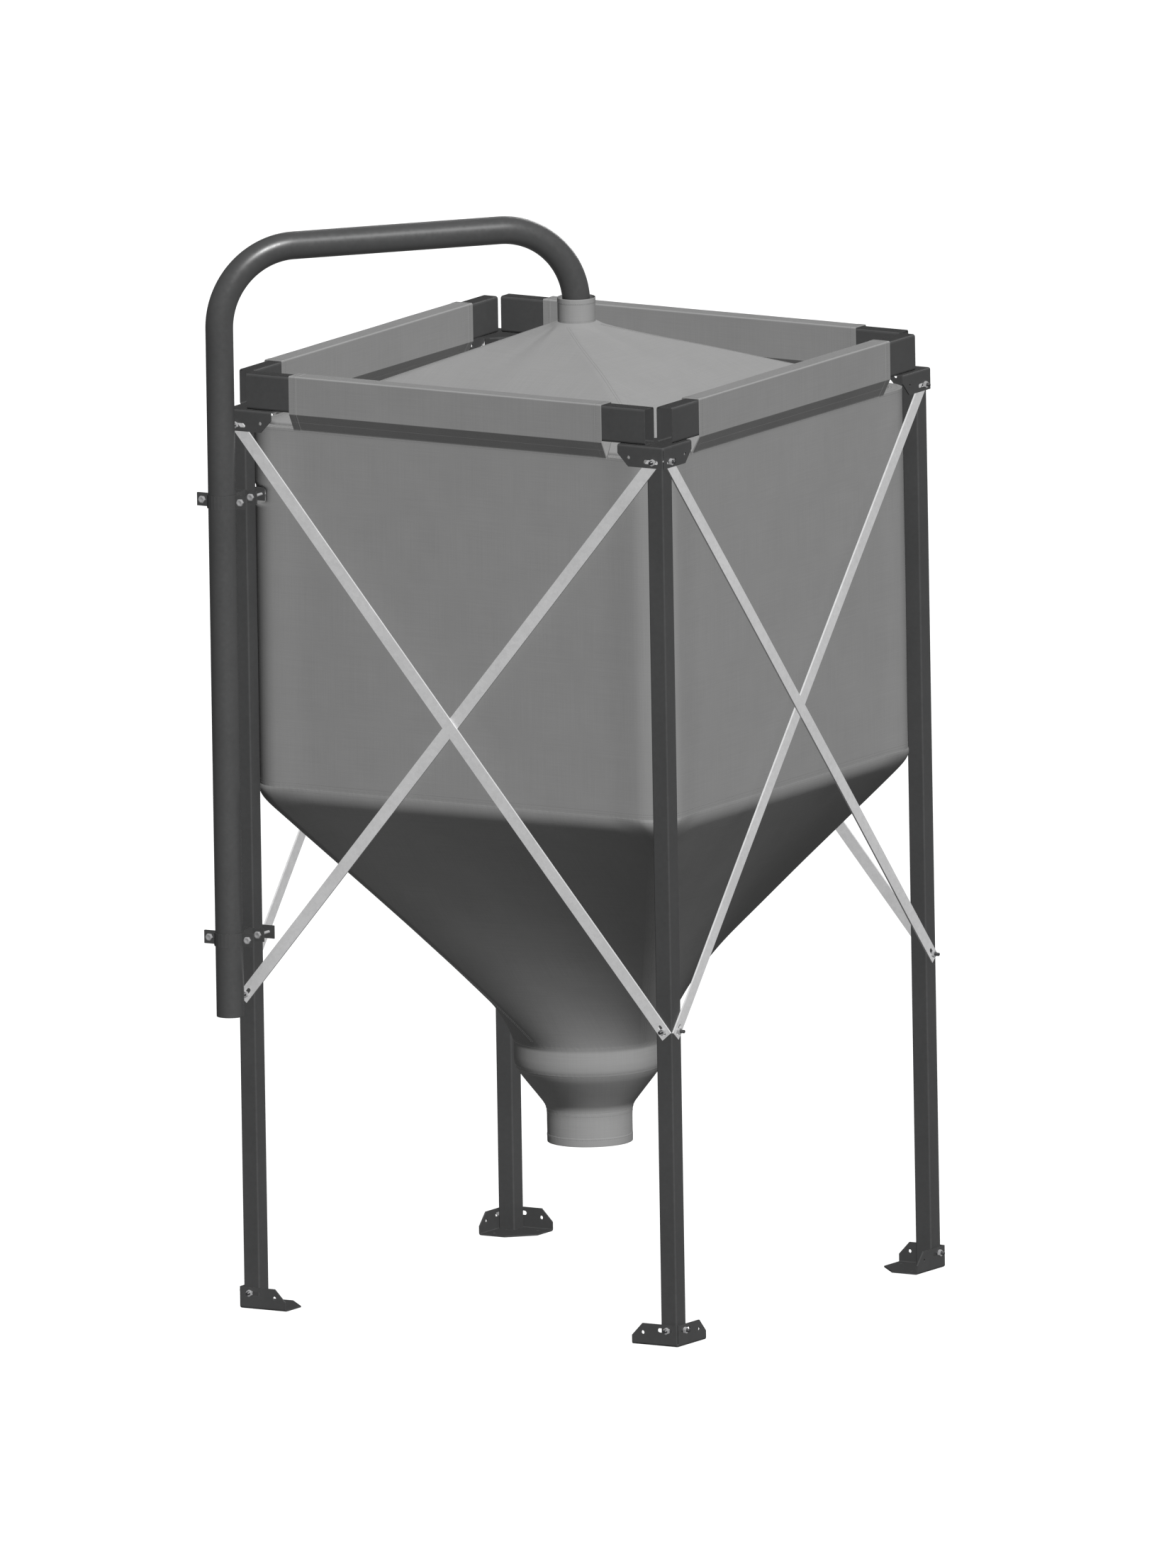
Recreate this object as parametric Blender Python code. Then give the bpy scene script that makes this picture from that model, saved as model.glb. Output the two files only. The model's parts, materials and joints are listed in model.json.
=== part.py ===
"""Indoor grain silo: a flexible fabric bag hung in a bolted steel frame.

Four square-tube legs stand on bent foot brackets and carry four rectangular
top tubes on bent corner brackets.  Flat bars cross-brace the four sides.  Four
fabric tunnel sleeves slide over the top tubes and carry the bag: a rounded
square body with a pyramid roof and inlet collar, a square-to-round hopper, an
outlet band, an outlet cone and a neck.  A fill pipe is clamped in front of one
leg and bends over to the inlet collar.

Units are metres, +Z is up.  The shapes are written in the frame's own
coordinates, whose centre is the middle of the four legs at floor level:
-Y is the front, +X is the right-hand side.  The pipe stands out at the front
left, so every object is moved by ORIGIN, which puts the world origin under
the middle of the whole assembly.
"""
import math

import bmesh
import bpy
from mathutils import Matrix, Vector

# --------------------------------------------------------------- dimensions
GAP = 0.0003                # clearance left between pieces that touch

LEG_PITCH = 1.335           # leg centre to leg centre, both ways
LEG_W = 0.050               # square tube
LEG_WALL = 0.003
LEG_R = 0.004               # outer corner radius

SHEET = 0.004               # bent bracket sheet
BRACE_T = 0.005             # flat bar of the cross braces
BRACE_W = 0.035
BRACE_OVER = 0.0175         # bar left beyond the bolt centre
BRACE_BOW = 0.0029          # each bar springs this far aside where two cross
BRACE_Z0 = 0.873            # lower bolt of a brace
BOLT_DROP = 0.0435          # bracket bolt line, measured from the plate's face

BRACKET_L = 0.1475          # length of each flange
BRACKET_H = 0.060           # height of each flange
BRACKET_R = 0.006           # outer bend radius
BRACKET_END = 0.025         # upright end of a flange before its chamfer
FRAME_TOP = 2.4965          # upper face of the corner brackets

TUBE_W = 0.050              # top tubes, laid on the corner brackets
TUBE_H = 0.100
TUBE_WALL = 0.003
TUBE_R = 0.007
TUBE_LEN = 1.274

SLEEVE_LEN = 1.000          # fabric tunnels round the top tubes
SLEEVE_T = 0.0025
FLAP_IN = 0.026             # the V flap runs in this far ...
FLAP_DOWN = 0.0455          # ... and down this far to the seam

BAG_T = 0.004               # cloth, modelled thicker than the real cloth
BAG_HALF = 0.664            # half width of the bag body, outside
BAG_R = 0.085               # upright corner radius
BAG_Z0 = 1.450              # lower edge of the upright wall
HOPPER_Z = 1.425            # where upright and sloping walls would meet
BAG_Z1 = 2.435              # wall starts to turn into the roof
SHOULDER_R = 0.015
ROOF_PITCH = math.radians(20.8)
COLLAR_R = 0.052
COLLAR_Z0 = 2.682
COLLAR_Z1 = 2.7485
RING_R = 0.205              # outlet band under the hopper
RING_Z1 = 0.700
RING_Z0 = 0.619
HOPPER_R = 0.050            # corner radius of the sloping walls' outline
HOPPER_TWIST = 0.60         # the cloth runs down to the band with this twist
HOPPER_ZK = 0.717           # where straight hopper walls would meet the band
HOPPER_ZB = 1.130           # the walls begin to curve into the band here
HOPPER_ZR = 0.684           # ... and would stand upright here
TURN_SIDE = 0.021           # wall turns into slope over this depth, mid side
TURN_CORNER = 0.052         # ... and at the corners
NECK_R = 0.117
NECK_Z1 = 0.4975
NECK_Z0 = 0.4085
SIDES = 48                  # points round a bag section

PIPE_R = 0.0382             # fill pipe, outside radius
PIPE_WALL = 0.003
PIPE_X = -LEG_PITCH / 2     # pipe stands straight in front of the left leg
PIPE_Y = -0.779
PIPE_Z0 = 0.825
PIPE_Z = 2.948              # centre line of the level run
PIPE_BEND = 0.2165          # centre-line radius of both bends
PIPE_END = 2.712            # lower end inside the collar
PIPE_SIDES = 24
STEPS = 8                   # slices in one bend

CLAMP_Z = (1.040, 2.2545)   # centre heights of the two pipe clamps
CLAMP_H = 0.0365
STRAP_T = 0.003
EAR_HALF = 0.0785           # clamp ear, from the pipe's axis to its end
EAR_BOLT = 0.061
PLATE_HALF = 0.0597         # clamp plates on the leg
PLATE_BOLT = 0.042
PLATE_T = 0.004
DENT = 0.024                # the bag gives way behind the upper clamp

HALF = LEG_PITCH / 2
FACE = HALF + LEG_W / 2                       # outer faces of the legs
INNER = HALF - LEG_W / 2
FLANGE_IN = FACE + 2 * GAP + BRACE_T          # inner face of bracket flanges
FLANGE_OUT = FLANGE_IN + SHEET
LEG_Z0 = SHEET + GAP
LEG_Z1 = FRAME_TOP - SHEET - GAP
TUBE_Z0 = FRAME_TOP + GAP
STRAP_IN = PIPE_R + 0.0004
STRAP_OUT = STRAP_IN + STRAP_T
X_MIN = PIPE_X - EAR_HALF
Y_MIN = PIPE_Y - STRAP_OUT
ORIGIN = Vector((-(X_MIN + FLANGE_OUT) / 2, -(Y_MIN + FLANGE_OUT) / 2, 0.0))

# ------------------------------------------------------------------ scene
for old in list(bpy.data.objects):
    bpy.data.objects.remove(old, do_unlink=True)


def material(name, colour, rough, metal):
    mat = bpy.data.materials.new(name)
    mat.use_nodes = True
    bsdf = mat.node_tree.nodes["Principled BSDF"]
    bsdf.inputs["Base Color"].default_value = (*colour, 1.0)
    bsdf.inputs["Roughness"].default_value = rough
    bsdf.inputs["Metallic"].default_value = metal
    return mat


LOOKS = {
    "frame_steel": ((0.060, 0.062, 0.064), 0.50, 0.25),
    "galvanised": ((0.46, 0.47, 0.48), 0.40, 0.80),
    "bag_cloth": ((0.33, 0.33, 0.32), 0.90, 0.0),
    "pipe_steel": ((0.075, 0.076, 0.078), 0.32, 0.60),
}


def finish(name, mesh, look, smooth=None):
    """Make the named object from a mesh, with a material of its own."""
    obj = bpy.data.objects.new(name, mesh)
    bpy.context.scene.collection.objects.link(obj)
    colour, rough, metal = LOOKS[look]
    mesh.materials.clear()
    mesh.materials.append(material(name + "_" + look, colour, rough, metal))
    if smooth is not None:
        mesh.shade_smooth()
        mesh.set_sharp_from_angle(angle=math.radians(smooth))
    obj.location = ORIGIN
    return obj


# ------------------------------------------------------------ mesh helpers
def mesh_from(bm, name):
    bmesh.ops.recalc_face_normals(bm, faces=bm.faces)
    mesh = bpy.data.meshes.new(name)
    bm.to_mesh(mesh)
    bm.free()
    return mesh


def loft(rings, ring_closed=False):
    """Skin a stack of point rings; closed up on itself, or capped."""
    bm = bmesh.new()
    rows = [[bm.verts.new(p) for p in ring] for ring in rings]
    count = len(rows[0])
    pairs = list(zip(rows, rows[1:]))
    if ring_closed:
        pairs.append((rows[-1], rows[0]))
    else:
        bm.faces.new(rows[0])
        bm.faces.new(list(reversed(rows[-1])))
    for low, high in pairs:
        for i in range(count):
            j = (i + 1) % count
            bm.faces.new((low[i], low[j], high[j], high[i]))
    return bm


def rounded_rect(half_x, half_y, radius, arc=4, corner=None):
    """Outline of a rectangle with round corners, anticlockwise."""
    pts = []
    for cx, cy, start in ((1, 1, 0), (-1, 1, 90), (-1, -1, 180), (1, -1, 270)):
        for k in range(arc + 1):
            t = math.radians(start + 90.0 * k / arc)
            pts.append(((half_x - radius) * cx + radius * math.cos(t),
                        (half_y - radius) * cy + radius * math.sin(t)))
    return pts


def shell(sections_out, sections_in):
    """Open-ended shell: up the outside, over the rim and down the inside."""
    return loft(sections_out + list(reversed(sections_in)), ring_closed=True)


def box(x0, x1, y0, y1, z0, z1):
    bm = bmesh.new()
    bmesh.ops.create_cube(bm, size=1.0)
    for v in bm.verts:
        v.co = Vector((x0 + (v.co.x + 0.5) * (x1 - x0),
                       y0 + (v.co.y + 0.5) * (y1 - y0),
                       z0 + (v.co.z + 0.5) * (z1 - z0)))
    return bm


def prism(outline, axis, a, b):
    """Extrude a 2-D outline along X, Y or Z between a and b.

    The outline is read as (y, z) for X, (x, z) for Y and (x, y) for Z.
    """
    def place(p, d):
        if axis == "X":
            return (d, p[0], p[1])
        if axis == "Y":
            return (p[0], d, p[1])
        return (p[0], p[1], d)
    return loft([[place(p, a) for p in outline], [place(p, b) for p in outline]])


def slot_outline(cx, cy, length, width, angle=0.0, arc=6):
    """A slot with round ends; length is measured over the ends."""
    half = (length - width) / 2
    r = width / 2
    pts = []
    for side in (1, -1):
        for k in range(arc + 1):
            t = math.radians(-90 + 180 * k / arc) + (0 if side > 0 else math.pi)
            pts.append((side * half + r * math.cos(t), r * math.sin(t)))
    c, s = math.cos(angle), math.sin(angle)
    return [(cx + x * c - y * s, cy + x * s + y * c) for x, y in pts]


def circle_outline(cx, cy, r, n=12):
    return [(cx + r * math.cos(2 * math.pi * (k + 0.5) / n),
             cy + r * math.sin(2 * math.pi * (k + 0.5) / n)) for k in range(n)]


def combine(base, steps, name):
    """Apply (operation, bmesh) Booleans to a base bmesh, return the mesh."""
    body = bpy.data.objects.new(name + "_body", mesh_from(base, name))
    bpy.context.scene.collection.objects.link(body)
    tools = []
    for k, (operation, bm) in enumerate(steps):
        tool = bpy.data.objects.new("%s_tool%d" % (name, k),
                                    mesh_from(bm, "%s_tool%d" % (name, k)))
        bpy.context.scene.collection.objects.link(tool)
        tool.hide_render = True
        tool.display_type = "WIRE"
        mod = body.modifiers.new("step%d" % k, "BOOLEAN")
        mod.operation = operation
        mod.solver = "EXACT"
        mod.object = tool
        tools.append(tool)
    graph = bpy.context.evaluated_depsgraph_get()
    mesh = bpy.data.meshes.new_from_object(body.evaluated_get(graph))
    mesh.name = name
    for obj in [body] + tools:
        bpy.data.objects.remove(obj, do_unlink=True)
    return mesh


def turned(mesh, matrix):
    out = mesh.copy()
    out.transform(matrix)
    return out


# ------------------------------------------------------------------- legs
CORNERS = (("front_left", -1, -1), ("front_right", 1, -1),
           ("back_right", 1, 1), ("back_left", -1, 1))

leg_out = rounded_rect(LEG_W / 2, LEG_W / 2, LEG_R, 3)
leg_in = rounded_rect(LEG_W / 2 - LEG_WALL, LEG_W / 2 - LEG_WALL,
                      LEG_R - LEG_WALL, 3)
for corner, sx, sy in CORNERS:
    def at(outline, z, sx=sx, sy=sy):
        return [(HALF * sx + x, HALF * sy + y, z) for x, y in outline]
    bm = shell([at(leg_out, LEG_Z0), at(leg_out, LEG_Z1)],
               [at(leg_in, LEG_Z0), at(leg_in, LEG_Z1)])
    finish("leg_" + corner, mesh_from(bm, "leg"), "frame_steel", 40)

# --------------------------------------------------------------- brackets
# Bent sheet: a level plate and two flanges, modelled at the +X +Y corner
# with the plate's outer face at z = 0 and the flanges reaching down.
BRACKET_X0 = FLANGE_OUT - BRACKET_L


def bent_corner(outer, top, radius, low):
    """Solid corner block whose three outer edges are rounded."""
    bm = box(BRACKET_X0 - (0 if top == 0 else 0.02), outer,
             BRACKET_X0 - (0 if top == 0 else 0.02), outer, low, top)
    edges = []
    for e in bm.edges:
        m = (e.verts[0].co + e.verts[1].co) / 2
        far = [abs(m.x - outer) < 1e-5, abs(m.y - outer) < 1e-5,
               abs(m.z - top) < 1e-5]
        if sum(far) >= 2:
            edges.append(e)
    bmesh.ops.bevel(bm, geom=edges, offset=radius, segments=3,
                    profile=0.5, affect="EDGES")
    return bm


clip = 0.075
slot_x = HALF - 0.0075
hole_x = HALF - 0.078
steps = [("DIFFERENCE", bent_corner(FLANGE_IN, -SHEET, BRACKET_R - SHEET,
                                    -BRACKET_H - 0.02))]
chamfer = [(BRACKET_X0 - 0.01, -BRACKET_END), (BRACKET_X0, -BRACKET_END),
           (BRACKET_X0 + 0.0335, -BRACKET_H), (BRACKET_X0 + 0.0335, -0.09),
           (BRACKET_X0 - 0.01, -0.09)]
wide = (FLANGE_IN - 0.004, FLANGE_OUT + 0.01)
steps.append(("DIFFERENCE", prism(chamfer, "Y", *wide)))
steps.append(("DIFFERENCE", prism(chamfer, "X", *wide)))
for axis in "XY":
    steps.append(("DIFFERENCE", prism(
        slot_outline(slot_x, -BOLT_DROP, 0.047, 0.012), axis, *wide)))
    steps.append(("DIFFERENCE", prism(
        circle_outline(hole_x, -0.0347, 0.0052, 10), axis, *wide)))
# the plate's inner corner is clipped, with a hole for each tube or anchor
steps.append(("DIFFERENCE", prism(
    [(BRACKET_X0 - 0.01, BRACKET_X0 - 0.01), (BRACKET_X0 + clip, BRACKET_X0 - 0.01),
     (BRACKET_X0 - 0.01, BRACKET_X0 + clip)], "Z", -0.02, 0.02)))
for hx, hy in ((HALF - 0.086, HALF), (HALF, HALF - 0.086)):
    steps.append(("DIFFERENCE", prism(circle_outline(hx, hy, 0.0055, 10), "Z",
                                      -0.02, 0.02)))
# relief cut at the corner where the two flanges meet
q = FLANGE_OUT + 0.004
w = 0.0012
relief = [(q - w, q + w), (q - 0.014 - w, q - 0.014 + w),
          (q - 0.014 + w, q - 0.014 - w), (q + w, q - w)]
steps.append(("DIFFERENCE", prism(relief, "Z", -BRACKET_H - 0.01, -0.009)))
bracket = combine(bent_corner(FLANGE_OUT, 0.0, BRACKET_R, -BRACKET_H), steps,
                  "bracket")
flip = Matrix(((0, 1, 0, 0), (1, 0, 0, 0), (0, 0, -1, 0), (0, 0, 0, 1)))
for corner, sx, sy in CORNERS:
    spin = {(1, 1): 0, (-1, 1): 90, (-1, -1): 180, (1, -1): 270}[(sx, sy)]
    turn = Matrix.Rotation(math.radians(spin), 4, "Z")
    finish("corner_bracket_" + corner,
           turned(bracket, turn @ Matrix.Translation((0, 0, FRAME_TOP))),
           "frame_steel")
    finish("foot_bracket_" + corner, turned(bracket, turn @ flip), "frame_steel")

# --------------------------------------------------------------- top tubes
tube_out = rounded_rect(TUBE_W / 2, TUBE_H / 2, TUBE_R, 3)
tube_in = rounded_rect(TUBE_W / 2 - TUBE_WALL, TUBE_H / 2 - TUBE_WALL,
                       TUBE_R - TUBE_WALL, 3)
SIDES4 = (("front", 0), ("right", 90), ("back", 180), ("left", 270))
for side, deg in SIDES4:
    turn = Matrix.Rotation(math.radians(deg), 4, "Z")

    def run(outline, x):
        return [(x, -HALF + y, TUBE_Z0 + TUBE_H / 2 + z) for y, z in outline]
    bm = shell([run(tube_out, -TUBE_LEN / 2), run(tube_out, TUBE_LEN / 2)],
               [run(tube_in, -TUBE_LEN / 2), run(tube_in, TUBE_LEN / 2)])
    bm.transform(turn)
    finish("top_tube_" + side, mesh_from(bm, "top_tube"), "frame_steel", 40)

# ------------------------------------------------------------------ braces
BRACE_Z1 = FRAME_TOP - BOLT_DROP
rise = BRACE_Z1 - BRACE_Z0
reach = math.hypot(LEG_PITCH, rise)
lean = math.atan2(rise, LEG_PITCH)
PLANE = FACE + GAP + BRACE_T / 2              # mid plane of the brace ends


def brace(bow):
    """Flat bar along +X through the origin, springing aside by bow."""
    half = reach / 2 + BRACE_OVER
    stations = [-half, -reach / 2 + 0.05] + [
        (-1 + 2 * k / 12) * (reach / 2 - 0.10) for k in range(13)] + [
        reach / 2 - 0.05, half]
    rings = []
    for s in stations:
        t = max(0.0, 1 - (abs(s) / (reach / 2 - 0.06)) ** 2)
        y = bow * t * t * (3 - 2 * t)
        rings.append([(s, y - BRACE_T / 2, -BRACE_W / 2),
                      (s, y + BRACE_T / 2, -BRACE_W / 2),
                      (s, y + BRACE_T / 2, BRACE_W / 2),
                      (s, y - BRACE_T / 2, BRACE_W / 2)])
    cuts = [("DIFFERENCE", prism(
        slot_outline(d * (reach / 2 - 0.005), 0.0, 0.032, 0.011), "Y",
        -0.02, 0.02)) for d in (-1, 1)]
    return combine(loft(rings), cuts, "brace")


bars = {"a": brace(BRACE_BOW), "b": brace(-BRACE_BOW)}
for side, deg in SIDES4:
    turn = Matrix.Rotation(math.radians(deg), 4, "Z")
    for tag, sign in (("a", 1), ("b", -1)):
        place = (turn @ Matrix.Translation((0, -PLANE, (BRACE_Z0 + BRACE_Z1) / 2))
                 @ Matrix.Rotation(-sign * lean, 4, "Y"))
        finish("brace_%s_%s" % (side, tag), turned(bars[tag], place),
               "galvanised")

# ----------------------------------------------------------------- sleeves
# Section of the front sleeve in (y, z): a tunnel round the tube, and a V of
# two flaps that run together into the seam beside the bag wall.
t = SLEEVE_T
yo = -HALF - TUBE_W / 2 - GAP - t             # outer face of the sleeve
yi = -HALF + TUBE_W / 2 + GAP + t
zt = TUBE_Z0 + TUBE_H + GAP + t
zb = TUBE_Z0 - GAP - t
seam_y = yo + FLAP_IN
seam_z = zb - FLAP_DOWN
tab = 0.002
outer_line = [(yo, zb), (seam_y - t, seam_z), (seam_y - t, seam_z - tab),
              (seam_y + t, seam_z - tab), (seam_y + t, seam_z), (yi, zb)]
top = rounded_rect((yi - yo) / 2, (zt - zb) / 2, 0.004, 2)
mid_y, mid_z = (yo + yi) / 2, (zt + zb) / 2
upper = [(mid_y + a, mid_z + b) for a, b in top if b > 0]
tunnel_r = rounded_rect((yi - yo) / 2 - t, (zt - zb) / 2 - t, 0.003, 2)
tunnel = [(mid_y + a, mid_z + b) for a, b in tunnel_r]
v_hole = [(yo + 2.4 * t, zb - 0.0006), (seam_y, seam_z + 2.4 * t),
          (yi - 2.4 * t, zb - 0.0006)]
end = SLEEVE_LEN / 2
sleeve = combine(
    prism(outer_line + upper, "X", -end, end),
    [("DIFFERENCE", prism(tunnel, "X", -end - 0.01, end + 0.01)),
     ("DIFFERENCE", prism(v_hole, "X", -end - 0.01, end + 0.01))], "sleeve")
for side, deg in SIDES4:
    finish("sleeve_" + side,
           turned(sleeve, Matrix.Rotation(math.radians(deg), 4, "Z")),
           "bag_cloth")


# --------------------------------------------------------------------- bag
def square_section(half, radius, extra=(0.06, 0.28)):
    """Points round a rounded square and each one's share of the perimeter."""
    pts = []
    arc = 6
    flat = half - radius
    for q4 in range(4):
        a0 = q4 * 90.0 - 45.0
        # from the middle of one corner arc to the middle of the next
        local = []
        for k in range(arc // 2 + 1):
            ang = math.radians(-45 + 90.0 * k / arc)
            local.append((flat + radius * math.cos(ang),
                          -flat + radius * math.sin(ang)))
        for f in extra:
            local.append((half, -flat + 2 * flat * f))
        for f in reversed(extra):
            local.append((half, flat - 2 * flat * f))
        for k in range(arc // 2):
            ang = math.radians(90.0 * k / arc)
            local.append((flat + radius * math.cos(ang),
                          flat + radius * math.sin(ang)))
        c, s = math.cos(math.radians(q4 * 90)), math.sin(math.radians(q4 * 90))
        pts += [(x * c - y * s, x * s + y * c) for x, y in local]
    return pts


def share_of_perimeter(pts):
    run_len = [0.0]
    for p, n in zip(pts, pts[1:] + pts[:1]):
        run_len.append(run_len[-1] + math.hypot(n[0] - p[0], n[1] - p[1]))
    return [v / run_len[-1] for v in run_len[:-1]]


BASE = square_section(BAG_HALF, BAG_R)
SHARE = share_of_perimeter(BASE)
# points of a circle matched to the square's points by their share of the
# way round, starting from the middle of the same corner
ROUND = [(math.cos(2 * math.pi * s - math.pi / 4),
          math.sin(2 * math.pi * s - math.pi / 4)) for s in SHARE]


def inset(amount):
    return square_section(BAG_HALF - amount, BAG_R - amount)


def dented(point):
    """The cloth gives way where the upper pipe clamp stands behind a leg."""
    x, y, z = point
    across = (x - y) / math.sqrt(2)
    depth = (math.exp(-((z - CLAMP_Z[1]) / 0.055) ** 2)
             * math.exp(-(across / 0.065) ** 2))
    if x > -0.40 or y > -0.40 or depth < 0.004:
        return point
    shift = DENT * depth / math.sqrt(2)
    return (x + shift, y + shift, z)


heights = [BAG_Z0] + [CLAMP_Z[1] + d for d in (-0.12, -0.07, -0.04, -0.014,
                                               0.014, 0.04, 0.07)] + [BAG_Z1]
outer_rings = [[dented((x, y, z)) for x, y in BASE] for z in heights]
inner_base = inset(BAG_T)
inner_rings = [[dented((x, y, z)) for x, y in inner_base] for z in heights]
# the shoulder: the wall turns in towards the roof
turn_to = math.pi / 2 - ROOF_PITCH
for k in range(1, 4):
    ang = turn_to * k / 3
    amount = SHOULDER_R * (1 - math.cos(ang))
    z = BAG_Z1 + SHOULDER_R * math.sin(ang)
    outer_rings.append([(x, y, z) for x, y in inset(amount)])
    r_in = SHOULDER_R - BAG_T
    amount_in = SHOULDER_R - r_in * math.cos(ang)
    inner_rings.append([(x, y, BAG_Z1 + r_in * math.sin(ang))
                        for x, y in inset(amount_in)])
finish("bag_body", mesh_from(shell(outer_rings, inner_rings), "bag_body"),
       "bag_cloth", 50)

# roof: ruled from the shoulder's edge to the collar
edge_in = SHOULDER_R * (1 - math.cos(turn_to))
edge_z = BAG_Z1 + SHOULDER_R * math.sin(turn_to)
step_in = GAP * 2
lean_in, lean_down = BAG_T * math.sin(ROOF_PITCH), BAG_T * math.cos(ROOF_PITCH)
low_z = edge_z + step_in * math.tan(ROOF_PITCH)
roof_low = inset(edge_in + step_in)
roof_low_in = inset(edge_in + step_in + lean_in)
LIP_R = COLLAR_R - 0.0035
roof_rings, roof_in = [], []
for k in range(0, 3):
    f = k / 2
    ring_o, ring_i = [], []
    for (x, y), (xi, yi), (cx, cy) in zip(roof_low, roof_low_in, ROUND):
        tx, ty = COLLAR_R * cx, COLLAR_R * cy
        ring_o.append((x + (tx - x) * f, y + (ty - y) * f,
                       low_z + (COLLAR_Z0 - low_z) * f))
        tx, ty = LIP_R * cx, LIP_R * cy
        ring_i.append((xi + (tx - xi) * f, yi + (ty - yi) * f,
                       low_z - lean_down + (COLLAR_Z0 - low_z) * f))
    roof_rings.append(ring_o)
    roof_in.append(ring_i)
roof_rings.append([(LIP_R * cx, LIP_R * cy, COLLAR_Z0) for cx, cy in ROUND])
finish("bag_roof", mesh_from(shell(roof_rings, roof_in), "bag_roof"),
       "bag_cloth", 50)


def lathe_shell(profile, thickness, around=None):
    """Shell of revolution from (radius, height) points, lowest first."""
    around = around or [(math.cos(2 * math.pi * k / SIDES),
                         math.sin(2 * math.pi * k / SIDES))
                        for k in range(SIDES)]
    out = [[(r * c, r * s, z) for c, s in around] for r, z in profile]
    inn = [[((r - thickness) * c, (r - thickness) * s, z) for c, s in around]
           for r, z in profile]
    return shell(out, inn)


finish("inlet_collar", mesh_from(lathe_shell(
    [(COLLAR_R, COLLAR_Z0 + GAP), (COLLAR_R, COLLAR_Z1)], 0.003),
    "inlet_collar"), "bag_cloth", 50)

# hopper: the upright wall turns into walls that are ruled, with a twist, from
# a rounded square down to the round band, and curve into it at the bottom
TWISTED = [(math.cos(2 * math.pi * s - math.pi / 4 + HOPPER_TWIST),
            math.sin(2 * math.pi * s - math.pi / 4 + HOPPER_TWIST))
           for s in SHARE]
fall = HOPPER_Z - HOPPER_ZK


def smooth_step(v):
    v = min(1.0, max(0.0, v))
    return v * v * (3 - 2 * v)


def bezier(p, q, r, v):
    return tuple((1 - v) ** 2 * a + 2 * v * (1 - v) * b + v * v * c
                 for a, b, c in zip(p, q, r))


def end_of_curve():
    """Where along the bottom curve the band's upper edge is reached."""
    a = HOPPER_ZB - 2 * HOPPER_ZK + HOPPER_ZR
    b = 2 * (HOPPER_ZK - HOPPER_ZB)
    c = HOPPER_ZB - (RING_Z1 + GAP)
    return (-b - math.sqrt(b * b - 4 * a * c)) / (2 * a)


def hopper_rings(amount):
    """Rings of the hopper's skin from the wall to the band, moved in."""
    wall = square_section(BAG_HALF - amount, BAG_R - amount)
    edge = square_section(BAG_HALF - amount, HOPPER_R - amount)
    foot = [((RING_R - amount) * c, (RING_R - amount) * s) for c, s in TWISTED]
    last = end_of_curve()
    rings = [[] for _ in range(12)]
    for (wx, wy), (ex, ey), (fx, fy) in zip(wall, edge, foot):
        near = min(abs(wx), abs(wy)) - (BAG_HALF - BAG_R - 0.12)
        deep = TURN_SIDE + (TURN_CORNER - TURN_SIDE) * smooth_step(
            near / (0.12 + 0.3 * BAG_R))

        def ruled(z):
            f = (HOPPER_Z - z) / fall
            return (ex + (fx - ex) * f, ey + (fy - ey) * f, z)
        column = [bezier((wx, wy, BAG_Z0 - GAP), (ex, ey, HOPPER_Z),
                         ruled(HOPPER_Z - deep), v) for v in (0, 0.35, 0.7, 1)]
        column.append(ruled((HOPPER_Z - deep + HOPPER_ZB) / 2))
        column += [bezier(ruled(HOPPER_ZB), (fx, fy, HOPPER_ZK),
                          (fx, fy, HOPPER_ZR), v)
                   for v in (0, 0.22, 0.42, 0.58, 0.7, 0.8, last)]
        for ring, point in zip(rings, column):
            ring.append(point)
    rings.reverse()
    return rings


hop, hop_in = hopper_rings(0.0), hopper_rings(BAG_T)
finish("bag_hopper", mesh_from(shell(hop, hop_in), "bag_hopper"),
       "bag_cloth", 50)


def band_rings(amount, rim):
    """The band: round, and opening at the top to the hopper's lower rim."""
    steps = ((RING_R - 0.0035, RING_Z0), (RING_R - 0.001, RING_Z0 + 0.012),
             (RING_R, RING_Z0 + 0.03), (RING_R, RING_Z1 - 0.016))
    return [[((r - amount) * c, (r - amount) * s, z) for c, s in TWISTED]
            for r, z in steps] + [[(x, y, RING_Z1) for x, y, z in rim]]


finish("outlet_band", mesh_from(shell(band_rings(0.0, hop[0]),
                                      band_rings(BAG_T, hop_in[0])),
                                "outlet_band"), "bag_cloth", 50)

cone = [(NECK_R, NECK_Z1 + GAP), (NECK_R + 0.0025, NECK_Z1 + 0.010),
        (NECK_R + 0.0075, NECK_Z1 + 0.020)]
top_r = RING_R - 0.0035
z_a, r_a = cone[-1][1], cone[-1][0]
for k in range(1, 4):
    f = k / 3
    cone.append((r_a + (top_r - 0.006 - r_a) * f,
                 z_a + (RING_Z0 - 0.011 - z_a) * f))
cone.append((top_r, RING_Z0 - GAP))
finish("outlet_cone", mesh_from(lathe_shell(cone, BAG_T), "outlet_cone"),
       "bag_cloth", 50)
finish("outlet_neck", mesh_from(lathe_shell(
    [(NECK_R, NECK_Z0), (NECK_R, NECK_Z1)], BAG_T), "outlet_neck"),
    "bag_cloth", 50)


# --------------------------------------------------------------- fill pipe
run_len = math.hypot(PIPE_X, PIPE_Y)
DIR = Vector((-PIPE_X / run_len, -PIPE_Y / run_len, 0))   # towards the middle
START = Vector((PIPE_X, PIPE_Y, 0))
UP = Vector((0, 0, 1))
SIDE = DIR.cross(UP)


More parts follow.
